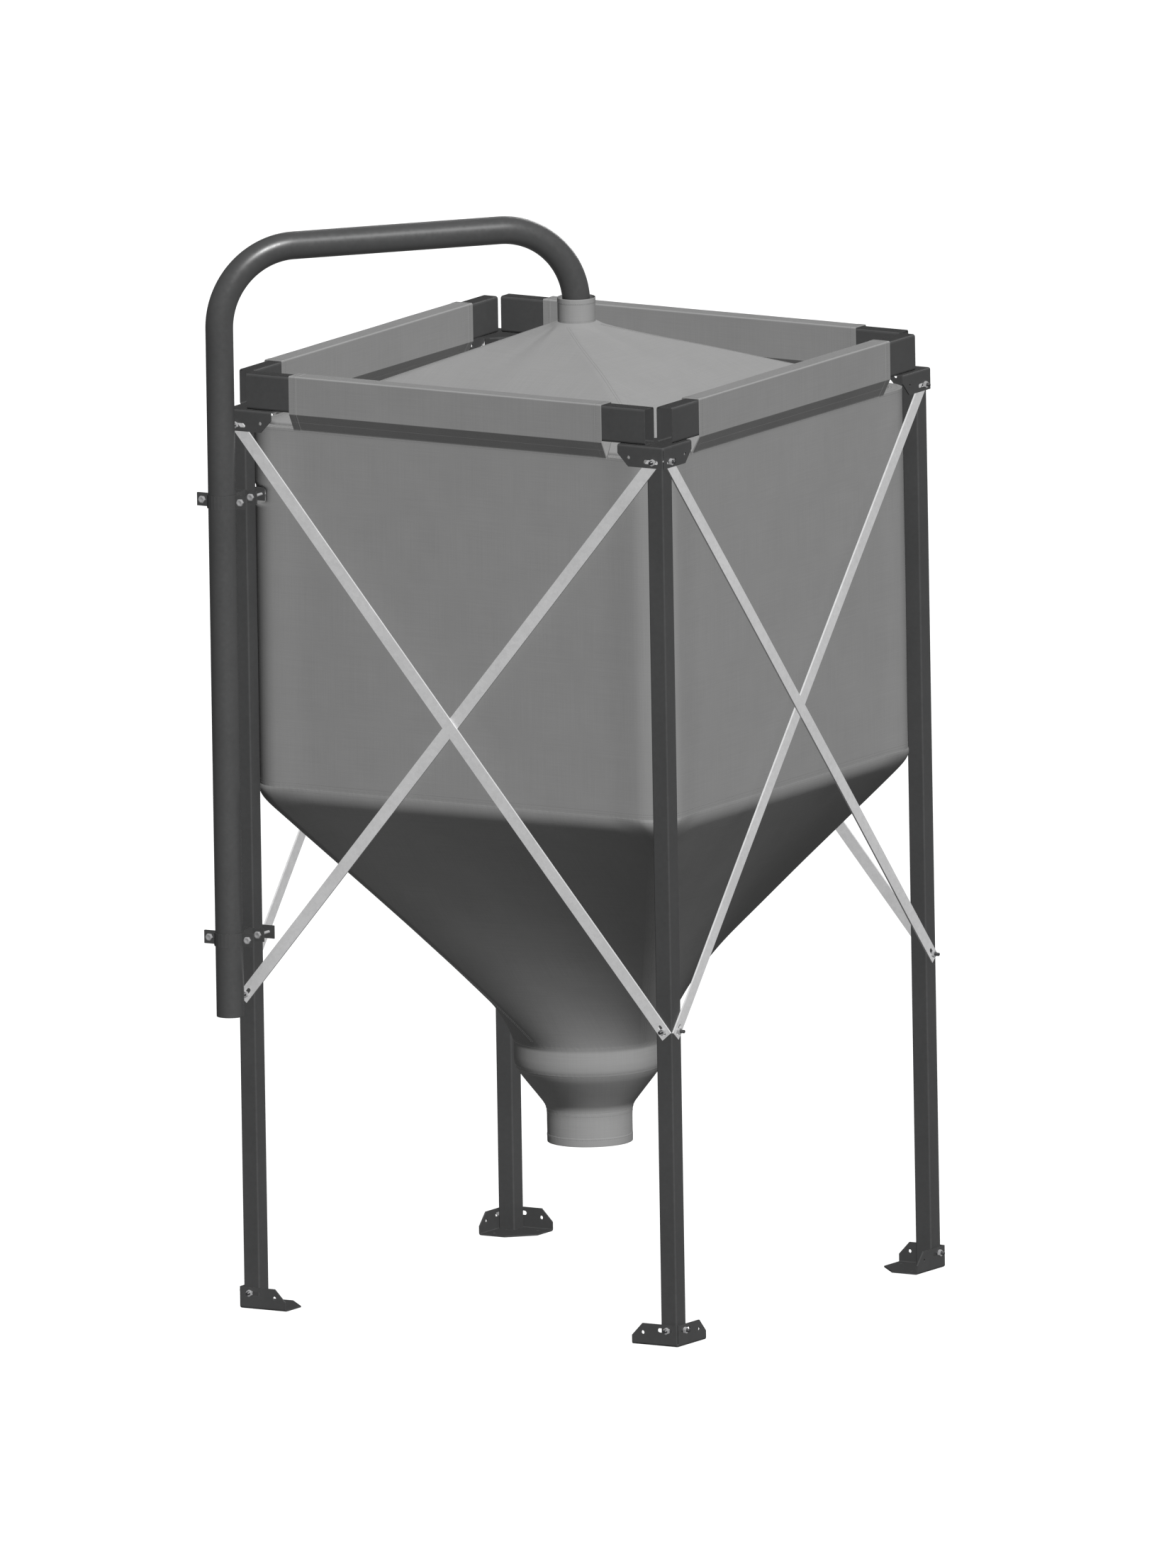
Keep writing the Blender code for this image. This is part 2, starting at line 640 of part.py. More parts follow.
def pipe_piece(name, stations):
    """Hollow pipe through (point, tangent) stations."""
    def ring(point, tangent, r):
        lift = tangent.cross(SIDE)
        return [tuple(point + r * (math.cos(t) * SIDE + math.sin(t) * lift))
                for t in (2 * math.pi * k / PIPE_SIDES + PHASE
                          for k in range(PIPE_SIDES))]
    out = [ring(p, d, PIPE_R) for p, d in stations]
    inn = [ring(p, d, PIPE_R - PIPE_WALL) for p, d in stations]
    finish(name, mesh_from(shell(out, inn), name), "pipe_steel", 40)


# turn the section so that its points match the clamp's, which count from +X
PHASE = math.atan2(SIDE.y, SIDE.x)
low_bend = PIPE_Z - PIPE_BEND
half_gap = GAP / 2
pipe_piece("fill_pipe_riser",
           [(START + UP * PIPE_Z0, UP), (START + UP * (low_bend - half_gap), UP)])
outer = [(START + UP * (low_bend + half_gap), UP)]
for k in range(1, STEPS):
    a = math.pi / 2 * k / STEPS
    outer.append((START + UP * (low_bend + PIPE_BEND * math.sin(a))
                  + DIR * PIPE_BEND * (1 - math.cos(a)),
                  UP * math.cos(a) + DIR * math.sin(a)))
outer.append((START + UP * PIPE_Z + DIR * (PIPE_BEND - half_gap), DIR))
pipe_piece("fill_pipe_outer_bend", outer)
pipe_piece("fill_pipe_run",
           [(START + UP * PIPE_Z + DIR * (PIPE_BEND + half_gap), DIR),
            (START + UP * PIPE_Z + DIR * (run_len - PIPE_BEND - half_gap), DIR)])
inner = [(START + UP * PIPE_Z + DIR * (run_len - PIPE_BEND + half_gap), DIR)]
for k in range(1, STEPS + 1):
    a = math.pi / 2 * k / STEPS
    inner.append((Vector((0, 0, low_bend + PIPE_BEND * math.cos(a)))
                  - DIR * PIPE_BEND * (1 - math.sin(a)),
                  DIR * math.cos(a) - UP * math.sin(a)))
inner.append((Vector((0, 0, PIPE_END)), -UP))
pipe_piece("fill_pipe_inner_bend", inner)


# ------------------------------------------------------------- pipe clamps
def half_strap(front):
    """Half ring round the pipe with an ear at each side, outline in (x, y)."""
    s = -1 if front else 1
    n = PIPE_SIDES // 2
    base = GAP / 2
    arc_in = [(STRAP_IN * math.cos(math.pi * k / n),
               s * STRAP_IN * math.sin(math.pi * k / n)) for k in range(n + 1)]
    arc_out = [(STRAP_OUT * math.cos(math.pi * k / n),
                s * STRAP_OUT * math.sin(math.pi * k / n)) for k in range(n + 1)]
    arc_in[0] = (STRAP_IN, s * base)
    arc_in[-1] = (-STRAP_IN, s * base)
    outer_arc = [p for p in arc_out[1:-1]]
    right = [(EAR_HALF, s * base), (EAR_HALF, s * (base + STRAP_T)),
             (STRAP_OUT + 0.0006, s * (base + STRAP_T))]
    left = [(-STRAP_OUT - 0.0006, s * (base + STRAP_T)),
            (-EAR_HALF, s * (base + STRAP_T)), (-EAR_HALF, s * base)]
    pts = right + outer_arc + left + list(reversed(arc_in))
    return [(PIPE_X + x, PIPE_Y + y) for x, y in pts]


for label, zc in zip(("lower", "upper"), CLAMP_Z):
    z0, z1 = zc - CLAMP_H / 2, zc + CLAMP_H / 2

    def holes(offset, ya, yb, zc=zc):
        return [("DIFFERENCE", prism(circle_outline(PIPE_X + d * offset, zc,
                                                    0.0045, 10), "Y", ya, yb))
                for d in (-1, 1)]
    ears = (EAR_BOLT, PIPE_Y - 0.02, PIPE_Y + 0.02)
    finish("pipe_strap_" + label, combine(
        prism(half_strap(True), "Z", z0, z1), holes(*ears), "pipe_strap"),
        "frame_steel", 40)
    # saddle half, stood off a plate that lies on the leg
    plate_y = -FACE - GAP
    webs = [("UNION", box(PIPE_X + d * 0.021 - 0.002, PIPE_X + d * 0.021 + 0.002,
                          PIPE_Y + STRAP_OUT * 0.80, plate_y - PLATE_T / 2,
                          z0 + 0.0005, z1 - 0.0005)) for d in (-1, 1)]
    plate = [("UNION", box(PIPE_X - PLATE_HALF, PIPE_X + PLATE_HALF,
                           plate_y - PLATE_T, plate_y, z0, z1))]
    finish("pipe_bracket_" + label, combine(
        prism(half_strap(False), "Z", z0, z1),
        webs + plate + holes(*ears)
        + holes(PLATE_BOLT, plate_y - 0.02, plate_y + 0.02),
        "pipe_bracket"), "frame_steel", 40)
    back = -INNER + GAP
    right_end = PIPE_X + (PLATE_HALF if label == "lower" else 0.0515)
    finish("clamp_plate_" + label, combine(
        box(PIPE_X - PLATE_HALF, right_end, back, back + PLATE_T, z0, z1),
        holes(PLATE_BOLT, back - 0.01, back + 0.02), "clamp_plate"),
        "frame_steel")
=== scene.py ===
"""Looks of the indoor grain silo: cloth bag, sleeves, bolts, finishes, light.

Shapes are written in the frame's own coordinates (metres, +Z up, -Y front),
whose centre is the middle of the four legs at floor level; SHIFT moves them
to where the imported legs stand.
"""
import json
import math

import bpy
import numpy as np
from mathutils import Matrix, Vector, noise


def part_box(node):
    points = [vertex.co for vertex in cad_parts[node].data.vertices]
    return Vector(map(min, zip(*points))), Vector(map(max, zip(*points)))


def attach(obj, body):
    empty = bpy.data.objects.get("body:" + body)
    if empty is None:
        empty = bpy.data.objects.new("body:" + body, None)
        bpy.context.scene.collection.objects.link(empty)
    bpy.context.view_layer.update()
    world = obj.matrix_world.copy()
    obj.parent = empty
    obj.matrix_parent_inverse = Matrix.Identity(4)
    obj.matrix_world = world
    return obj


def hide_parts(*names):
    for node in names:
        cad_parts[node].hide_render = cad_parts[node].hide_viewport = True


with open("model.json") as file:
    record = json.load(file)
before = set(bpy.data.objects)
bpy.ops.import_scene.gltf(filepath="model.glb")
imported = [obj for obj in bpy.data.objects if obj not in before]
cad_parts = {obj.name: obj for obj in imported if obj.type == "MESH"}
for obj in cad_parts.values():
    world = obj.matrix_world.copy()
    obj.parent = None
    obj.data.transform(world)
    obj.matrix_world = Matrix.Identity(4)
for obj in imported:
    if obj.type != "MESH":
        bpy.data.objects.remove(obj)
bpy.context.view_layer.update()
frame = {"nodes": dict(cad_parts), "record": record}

CORNERS = (("front_left", -1, -1), ("front_right", 1, -1),
           ("back_right", 1, 1), ("back_left", -1, 1))
SIDES4 = (("front", 0), ("right", 90), ("back", 180), ("left", 270))

leg_boxes = [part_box("leg_" + name) for name, _, _ in CORNERS]
SHIFT = Vector((sum(lo.x + hi.x for lo, hi in leg_boxes) / 8,
                sum(lo.y + hi.y for lo, hi in leg_boxes) / 8, 0.0))

# --------------------------------------------------------------- dimensions
HALF = 0.6675               # middle of a leg
FACE = 0.6925               # outer face of a leg
BRACE_OUT = 0.6978          # outer face of a cross brace at its ends
FLANGE_OUT = 0.7021         # outer face of a bracket's flange
TUBE_Z0, TUBE_H = 2.4968, 0.100
SLEEVE_LEN, SLEEVE_T = 1.000, 0.0025
FLAP_IN, FLAP_DOWN = 0.026, 0.0455

BAG_HALF, BAG_R = 0.664, 0.085
BAG_Z0 = 1.4500             # wall and hopper are joined here
CREST_Z = 2.4487            # sharp top edge of the wall
LEDGE = 0.032               # level strip inside that edge
RISER = 0.0040
RISER_R = 0.0070
ROOF_PITCH = math.radians(20.8)
COLLAR_R, COLLAR_Z0, COLLAR_Z1 = 0.052, 2.682, 2.7485
HOPPER_Z, HOPPER_R, TWIST = 1.425, 0.050, 0.60
ZK, ZB, ZR = 0.717, 1.130, 0.684
TURN_SIDE, TURN_CORNER = 0.021, 0.052
RING_R, RING_Z0, RING_Z1 = 0.205, 0.619, 0.700
NECK_R, NECK_Z0, NECK_Z1 = 0.117, 0.4085, 0.4975
PIPE_X, PIPE_Y = -0.6675, -0.779
CLAMP_Z = (1.040, 2.2545)
DENT = 0.0295
CORNER_SWELL = 0.0044       # the filled bag's corners press towards the legs
CLOTH = 0.0018              # thickness of the cloth

# ------------------------------------------------------------------- camera
A, E, ROLL, SCALE = math.radians(31.56), math.radians(10.1), 0.0165, 516.5
right0 = Vector((math.cos(A), math.sin(A), 0))
up0 = Vector((-math.sin(A) * math.sin(E), math.cos(A) * math.sin(E),
              math.cos(E)))
cam_right = math.cos(ROLL) * right0 - math.sin(ROLL) * up0
cam_up = math.sin(ROLL) * right0 + math.cos(ROLL) * up0
cam_back = Vector((math.sin(A) * math.cos(E), -math.cos(A) * math.cos(E),
                   math.sin(E)))
cam_data = bpy.data.cameras.new("camera")
cam_data.type = "ORTHO"
cam_data.sensor_fit = "VERTICAL"
cam_data.ortho_scale = 2212 / SCALE
cam_data.clip_start = 0.1
cam_data.clip_end = 200.0
cam = bpy.data.objects.new("camera", cam_data)
bpy.context.scene.collection.objects.link(cam)
spot = (SHIFT + cam_right * ((1659 / 2 - 836.0) / SCALE)
        + cam_up * ((1815.9 - 2212 / 2) / SCALE) + cam_back * 10.0)
cam.matrix_world = Matrix((
    (cam_right.x, cam_up.x, cam_back.x, spot.x),
    (cam_right.y, cam_up.y, cam_back.y, spot.y),
    (cam_right.z, cam_up.z, cam_back.z, spot.z),
    (0, 0, 0, 1)))
bpy.context.scene.camera = cam
view = bpy.context.scene.view_settings
view.view_transform = "Standard"
view.look = "None"
view.exposure = 0.0
view.gamma = 1.0


# ---------------------------------------------------------------- node tool
class Net:
    """Short calls for building a material's nodes."""

    def __init__(self, tree):
        self.tree = tree
        self.tree.nodes.clear()

    def node(self, kind, props=None, **values):
        n = self.tree.nodes.new(kind)
        for key, value in (props or {}).items():
            setattr(n, key, value)
        for key, value in values.items():
            socket = n.inputs[int(key[1:]) if key[0] == "i" and key[1:].isdigit()
                              else key.replace("_", " ")]
            self.feed(socket, value)
        return n

    def feed(self, socket, value):
        if isinstance(value, bpy.types.NodeSocket):
            self.tree.links.new(value, socket)
        else:
            socket.default_value = value

    def math(self, op, a, b=None, c=None, clamp=False):
        n = self.tree.nodes.new("ShaderNodeMath")
        n.operation = op
        n.use_clamp = clamp
        for k, value in enumerate((a, b, c)):
            if value is not None:
                self.feed(n.inputs[k], value)
        return n.outputs[0]

    def mul(self, a, b):
        return self.math("MULTIPLY", a, b)

    def add(self, a, b):
        return self.math("ADD", a, b)

    def xyz(self, x=0.0, y=0.0, z=0.0):
        n = self.tree.nodes.new("ShaderNodeCombineXYZ")
        for k, value in enumerate((x, y, z)):
            self.feed(n.inputs[k], value)
        return n.outputs[0]

    def noise(self, vector, scale, detail=2.0, rough=0.5):
        n = self.tree.nodes.new("ShaderNodeTexNoise")
        self.feed(n.inputs["Vector"], vector)
        n.inputs["Scale"].default_value = scale
        n.inputs["Detail"].default_value = detail
        n.inputs["Roughness"].default_value = rough
        return n.outputs[0]

    def span(self, value, lo, hi, a=0.0, b=1.0):
        """value from a..b mapped to lo..hi, held at the ends."""
        n = self.tree.nodes.new("ShaderNodeMapRange")
        n.clamp = True
        self.feed(n.inputs["Value"], value)
        for key, v in (("From Min", a), ("From Max", b), ("To Min", lo),
                       ("To Max", hi)):
            n.inputs[key].default_value = v
        return n.outputs[0]

    def tint(self, colour, factor):
        """A colour times a grey factor."""
        n = self.tree.nodes.new("ShaderNodeVectorMath")
        n.operation = "SCALE"
        self.feed(n.inputs[0], colour)
        self.feed(n.inputs["Scale"], factor)
        return n.outputs[0]

    def mix(self, a, b, factor):
        n = self.tree.nodes.new("ShaderNodeMix")
        n.data_type = "RGBA"
        self.feed(n.inputs[0], factor)
        self.feed(n.inputs[6], a)
        self.feed(n.inputs[7], b)
        return n.outputs[2]

    def bump(self, height, distance, strength=1.0, normal=None):
        n = self.tree.nodes.new("ShaderNodeBump")
        n.inputs["Strength"].default_value = strength
        n.inputs["Distance"].default_value = distance
        self.feed(n.inputs["Height"], height)
        if normal is not None:
            self.feed(n.inputs["Normal"], normal)
        return n.outputs[0]


def new_material(name):
    mat = bpy.data.materials.new(name)
    mat.use_nodes = True
    net = Net(mat.node_tree)
    out = net.node("ShaderNodeOutputMaterial")
    bsdf = net.node("ShaderNodeBsdfPrincipled")
    net.tree.links.new(bsdf.outputs[0], out.inputs["Surface"])
    return mat, net, bsdf


# ---------------------------------------------------------------- materials
def cloth_material(name, colour, pitch=0.0015, paint_light_by_facing=False):
    """Plain weave of round threads, read from the UV map named cloth."""
    mat, net, bsdf = new_material(name)
    uv = net.node("ShaderNodeUVMap", {"uv_map": "cloth"}).outputs[0]
    sep = net.node("ShaderNodeSeparateXYZ", Vector=uv)
    u, v = sep.outputs[0], sep.outputs[1]
    cu = net.math("COSINE", net.mul(u, math.pi / pitch))
    cv = net.math("COSINE", net.mul(v, math.pi / pitch))
    over = net.math("MULTIPLY_ADD", net.mul(cu, cv), 0.5, 0.5)
    weft = net.math("ABSOLUTE", cv)
    warp = net.math("ABSOLUTE", cu)
    height = net.add(net.mul(weft, over),
                     net.mul(warp, net.math("SUBTRACT", 1.0, over)))
    # every thread has its own slight tone along its run
    weft_tone = net.noise(net.xyz(net.mul(u, 5.0), net.mul(v, 420.0)), 1.0, 1.0)
    warp_tone = net.noise(net.xyz(net.mul(u, 420.0), net.mul(v, 5.0), 7.0),
                          1.0, 1.0)
    thread = net.add(net.mul(weft_tone, over),
                     net.mul(warp_tone, net.math("SUBTRACT", 1.0, over)))
    obj = net.node("ShaderNodeTexCoord").outputs["Object"]
    cloudy = net.noise(obj, 2.3, 3.0, 0.55)
    patchy = net.noise(obj, 11.0, 3.0, 0.6)
    fuzz = net.noise(obj, 900.0, 2.0, 0.6)
    factor = net.span(height, 0.86, 1.03)
    factor = net.mul(factor, net.span(thread, 0.945, 1.055, 0.25, 0.75))
    factor = net.mul(factor, net.span(cloudy, 0.978, 1.022, 0.3, 0.7))
    factor = net.mul(factor, net.span(patchy, 0.985, 1.015, 0.3, 0.7))
    if paint_light_by_facing:            # painted light and shade by facing: rounded folds painted lighter (painted highlight), level tops and downward faces painted darker (painted shade)
        geo = net.node("ShaderNodeNewGeometry")
        up = net.node("ShaderNodeSeparateXYZ",
                      Vector=geo.outputs["Normal"]).outputs[2]
        factor = net.mul(factor, net.span(up, 1.0, 1.12, 0.20, 0.50))
        factor = net.mul(factor, net.span(up, 1.0, 0.775, 0.955, 0.995))
        factor = net.mul(factor, net.span(up, 0.87, 1.0, -0.55, -0.20))
    net.feed(bsdf.inputs["Base Color"],
             net.tint((colour[0], colour[1], colour[2]), factor))
    net.feed(bsdf.inputs["Roughness"], net.span(fuzz, 0.80, 0.94, 0.3, 0.7))
    bsdf.inputs["Specular IOR Level"].default_value = 0.05
    # the cloth puckers between the stitches of a seam
    seam = net.node("ShaderNodeAttribute",
                    {"attribute_type": "GEOMETRY", "attribute_name": "seam"}
                    ).outputs["Fac"]
    near = net.math("POWER", math.e, net.mul(seam, -170.0))
    drift = net.noise(obj, 30.0, 1.0)
    gather = net.math("SINE", net.add(net.mul(u, 2 * math.pi / 0.018),
                                      net.mul(drift, 9.0)))
    pucker = net.mul(near, gather)
    soft = net.noise(obj, 6.0, 2.0, 0.5)
    n1 = net.bump(pucker, 0.00011)
    n2 = net.bump(soft, 0.0012, normal=n1)
    n3 = net.bump(height, 0.00013, normal=n2)
    n4 = net.bump(fuzz, 0.00003, normal=n3)
    net.feed(bsdf.inputs["Normal"], n4)
    return mat


def painted_material(name, colour, worn, rough, wear=0.55, spec=0.35,
                     grain=0.00003, coat=0.0, top_shade=0.36):
    """Powder-coated or painted steel, rubbed brighter along its edges."""
    mat, net, bsdf = new_material(name)
    obj = net.node("ShaderNodeTexCoord").outputs["Object"]
    geo = net.node("ShaderNodeNewGeometry")
    cloudy = net.noise(obj, 4.0, 4.0, 0.6)
    fine = net.noise(obj, 70.0, 3.0, 0.65)
    peel = net.noise(obj, 520.0, 2.0, 0.5)
    scuff = net.noise(net.node("ShaderNodeMapping", Vector=obj,
                               Scale=(60.0, 60.0, 7.0)).outputs[0],
                      1.0, 3.0, 0.7)
    factor = net.mul(net.span(cloudy, 0.93, 1.07, 0.3, 0.7),
                     net.span(fine, 0.96, 1.04, 0.3, 0.7))
    # level tops get painted shade: their colour is darkened by facing up, and
    # they are also made rougher
    up = net.node("ShaderNodeSeparateXYZ",
                  Vector=geo.outputs["Normal"]).outputs[2]
    factor = net.mul(factor, net.span(up, 1.0, top_shade, 0.88, 0.985))
    base = net.tint(colour, factor)
    bevel = net.node("ShaderNodeBevel", {"samples": 4}, Radius=0.0016)
    dot = net.node("ShaderNodeVectorMath", {"operation": "DOT_PRODUCT"})
    net.feed(dot.inputs[0], bevel.outputs[0])
    net.feed(dot.inputs[1], geo.outputs["Normal"])
    edge = net.span(dot.outputs["Value"], 1.0, 0.0, 0.80, 0.995)
    edge = net.mul(edge, net.span(fine, 0.15, 1.0, 0.38, 0.62))
    rub = net.span(scuff, 0.0, 0.35, 0.66, 0.80)
    mask = net.math("MULTIPLY", net.math("MAXIMUM", edge, net.mul(rub, 0.3)),
                    wear, clamp=True)
    net.feed(bsdf.inputs["Base Color"], net.mix(base, (*worn, 1.0), mask))
    net.feed(bsdf.inputs["Roughness"],
             net.add(net.add(net.span(fine, rough - 0.05, rough + 0.05,
                                      0.3, 0.7), net.mul(mask, -0.06)),
                     net.span(up, 0.0, 0.75 * (1 - top_shade), 0.88, 0.985)))
    bsdf.inputs["Specular IOR Level"].default_value = spec
    bsdf.inputs["Coat Weight"].default_value = coat
    bsdf.inputs["Coat Roughness"].default_value = 0.25
    net.feed(bsdf.inputs["Normal"], net.bump(peel, grain))
    return mat


def zinc_material(name, colour, rough, metallic, spangle=0.011, depth=0.06):
    """Zinc-coated steel: pale crystals with fine drawing marks."""
    mat, net, bsdf = new_material(name)
    obj = net.node("ShaderNodeTexCoord").outputs["Object"]
    warp = net.noise(obj, 60.0, 1.0)
    moved = net.node("ShaderNodeVectorMath", {"operation": "ADD"})
    net.feed(moved.inputs[0], obj)
    net.feed(moved.inputs[1], net.tint((0.004, 0.004, 0.004), warp))
    cells = net.node("ShaderNodeTexVoronoi", Vector=moved.outputs[0],
                     Scale=1.0 / spangle)
    tone = net.node("ShaderNodeSeparateColor", Color=cells.outputs["Color"])
    cloudy = net.noise(obj, 5.0, 3.0, 0.6)
    fine = net.noise(obj, 260.0, 3.0, 0.7)
    stain = net.noise(obj, 28.0, 4.0, 0.7)
    factor = net.span(tone.outputs[0], 1 - depth, 1 + depth)
    factor = net.mul(factor, net.span(cloudy, 0.95, 1.05, 0.3, 0.7))
    factor = net.mul(factor, net.span(fine, 0.96, 1.04, 0.3, 0.7))
    factor = net.mul(factor, net.span(stain, 1.0, 0.86, 0.60, 0.78))
    net.feed(bsdf.inputs["Base Color"], net.tint(colour, factor))
    net.feed(bsdf.inputs["Roughness"],
             net.add(net.span(tone.outputs[1], rough - 0.06, rough + 0.06),
                     net.span(fine, -0.03, 0.03, 0.3, 0.7)))
    bsdf.inputs["Metallic"].default_value = metallic
    bsdf.inputs["Specular IOR Level"].default_value = 0.4
    net.feed(bsdf.inputs["Normal"], net.bump(fine, 0.00002))
    return mat


CLOTH_GREY = (0.2250, 0.2250, 0.2240)
# lighter copies of the same cloth grey for roof, outlet, cone and hopper:
# painted light that brightens these surfaces beyond what the lamps give
ROOF_PAINTED_LIGHT_GREY = (0.2400, 0.2400, 0.2390)
cloth_mat = cloth_material("bag_cloth_woven", CLOTH_GREY)
# the sleeve cloth carries painted highlights on its folds and painted shade on
# its tops and undersides
sleeve_mat = cloth_material("bag_cloth_sleeve", CLOTH_GREY, paint_light_by_facing=True)
OUTLET_PAINTED_LIGHT_GREY = (0.2510, 0.2510, 0.2498)
CONE_PAINTED_LIGHT_GREY = (0.2860, 0.2860, 0.2846)
HOPPER_PAINTED_LIGHT_GREY = (0.2410, 0.2410, 0.2399)
# these four materials are the lighter cloth copies that carry painted light
roof_mat = cloth_material("bag_cloth_roof", ROOF_PAINTED_LIGHT_GREY)
outlet_mat = cloth_material("bag_cloth_outlet", OUTLET_PAINTED_LIGHT_GREY)
cone_mat = cloth_material("bag_cloth_cone", CONE_PAINTED_LIGHT_GREY)
hopper_mat = cloth_material("bag_cloth_hopper", HOPPER_PAINTED_LIGHT_GREY)
thread_mat, thread_net, thread_bsdf = new_material("sewing_thread")
thread_obj = thread_net.node("ShaderNodeTexCoord").outputs["Object"]
thread_net.feed(thread_bsdf.inputs["Base Color"], thread_net.tint(
    (0.135, 0.135, 0.134), thread_net.span(
        thread_net.noise(thread_obj, 140.0, 2.0), 0.85, 1.15, 0.3, 0.7)))
thread_bsdf.inputs["Roughness"].default_value = 0.65
thread_bsdf.inputs["Specular IOR Level"].default_value = 0.2
thread_net.feed(thread_bsdf.inputs["Normal"], thread_net.bump(
    thread_net.noise(thread_obj, 2600.0, 1.0), 0.00006))
# frame and pipe tops are darkened through top_shade: painted shade
frame_mat = painted_material("frame_powder_coat", (0.0575, 0.0578, 0.0582),
                             (0.105, 0.105, 0.107), 0.50, spec=0.14)
pipe_mat = painted_material("pipe_satin_paint", (0.0530, 0.0533, 0.0537),
                            (0.09, 0.09, 0.092), 0.37, wear=0.3, spec=0.5,
                            top_shade=0.80,
                            grain=0.00002)
brace_mat = zinc_material("brace_zinc", (0.570, 0.570, 0.573), 0.46, 0.12,
                          depth=0.035)
bolt_mat = zinc_material("bolt_zinc", (0.42, 0.42, 0.425), 0.36, 0.35,
                         spangle=0.004, depth=0.04)
shank_mat = zinc_material("bolt_shank_zinc", (0.52, 0.52, 0.525), 0.34, 0.35,
                          spangle=0.004, depth=0.04)
black_mat = painted_material("bolt_thread_black", (0.028, 0.028, 0.030),
                             (0.09, 0.09, 0.092), 0.38, spec=0.5)
SLOT_LOOK = {"frame_steel": frame_mat, "galvanised": brace_mat,
             "bag_cloth": cloth_mat, "pipe_steel": pipe_mat}
for part in frame["record"]["subparts"]:
    obj = frame["nodes"].get(part["node"])
    if obj is not None:
        look = SLOT_LOOK[part["material_slot"]]
        obj.data.materials.clear()
        obj.data.materials.append(look)


# ------------------------------------------------------------- mesh helpers
def settle(name, mesh, mats, sharp, nodes=()):
    """Link a mesh as a piece that rides on the fixed frame."""
    for mat in mats:
        mesh.materials.append(mat)
    mesh.transform(Matrix.Translation(SHIFT))
    mesh.shade_smooth()
    mesh.set_sharp_from_angle(angle=math.radians(sharp))
    obj = bpy.data.objects.new(name, mesh)
    bpy.context.scene.collection.objects.link(obj)
    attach(obj, "root")
    if nodes:
        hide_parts(*nodes)
    return obj


def mesh_of(name, verts, faces, indices=None):
    mesh = bpy.data.meshes.new(name)
    mesh.from_pydata([tuple(map(float, p)) for p in verts], [],
                     [tuple(map(int, f)) for f in faces])
    if indices is not None:
        mesh.polygons.foreach_set("material_index", np.asarray(indices, int))
    mesh.update()
    return mesh


def unit(a):
    return a / np.maximum(np.linalg.norm(a, axis=-1, keepdims=True), 1e-12)


def grid_normals(g, closed):
    """Outward normals of a grid of points (rows, columns, 3)."""
    if closed:
        along = np.roll(g, -1, 1) - np.roll(g, 1, 1)
    else:
        along = np.gradient(g, axis=1)
    up = np.gradient(g, axis=0)
    return unit(np.cross(along, up))


def gore_uv(g, quarters=4):
    """Cloth coordinates in metres, one gore for each quarter of a grid."""
    rows, cols = g.shape[:2]
    per = cols // quarters
    out = np.zeros((rows, quarters, per + 1, 2))
    for q in range(quarters):
        index = [(q * per + k) % cols for k in range(per + 1)]
        part = g[:, index]
        step = np.linalg.norm(np.diff(part, axis=1), axis=-1)
        u = np.concatenate([np.zeros((rows, 1)), np.cumsum(step, 1)], 1)
        u = u - u[:, per // 2:per // 2 + 1]
        mid = part[:, per // 2]
        v = np.concatenate([[0.0], np.cumsum(
            np.linalg.norm(np.diff(mid, axis=0), axis=-1))])
        out[:, q, :, 0] = u
        out[:, q, :, 1] = v[:, None]
    return out


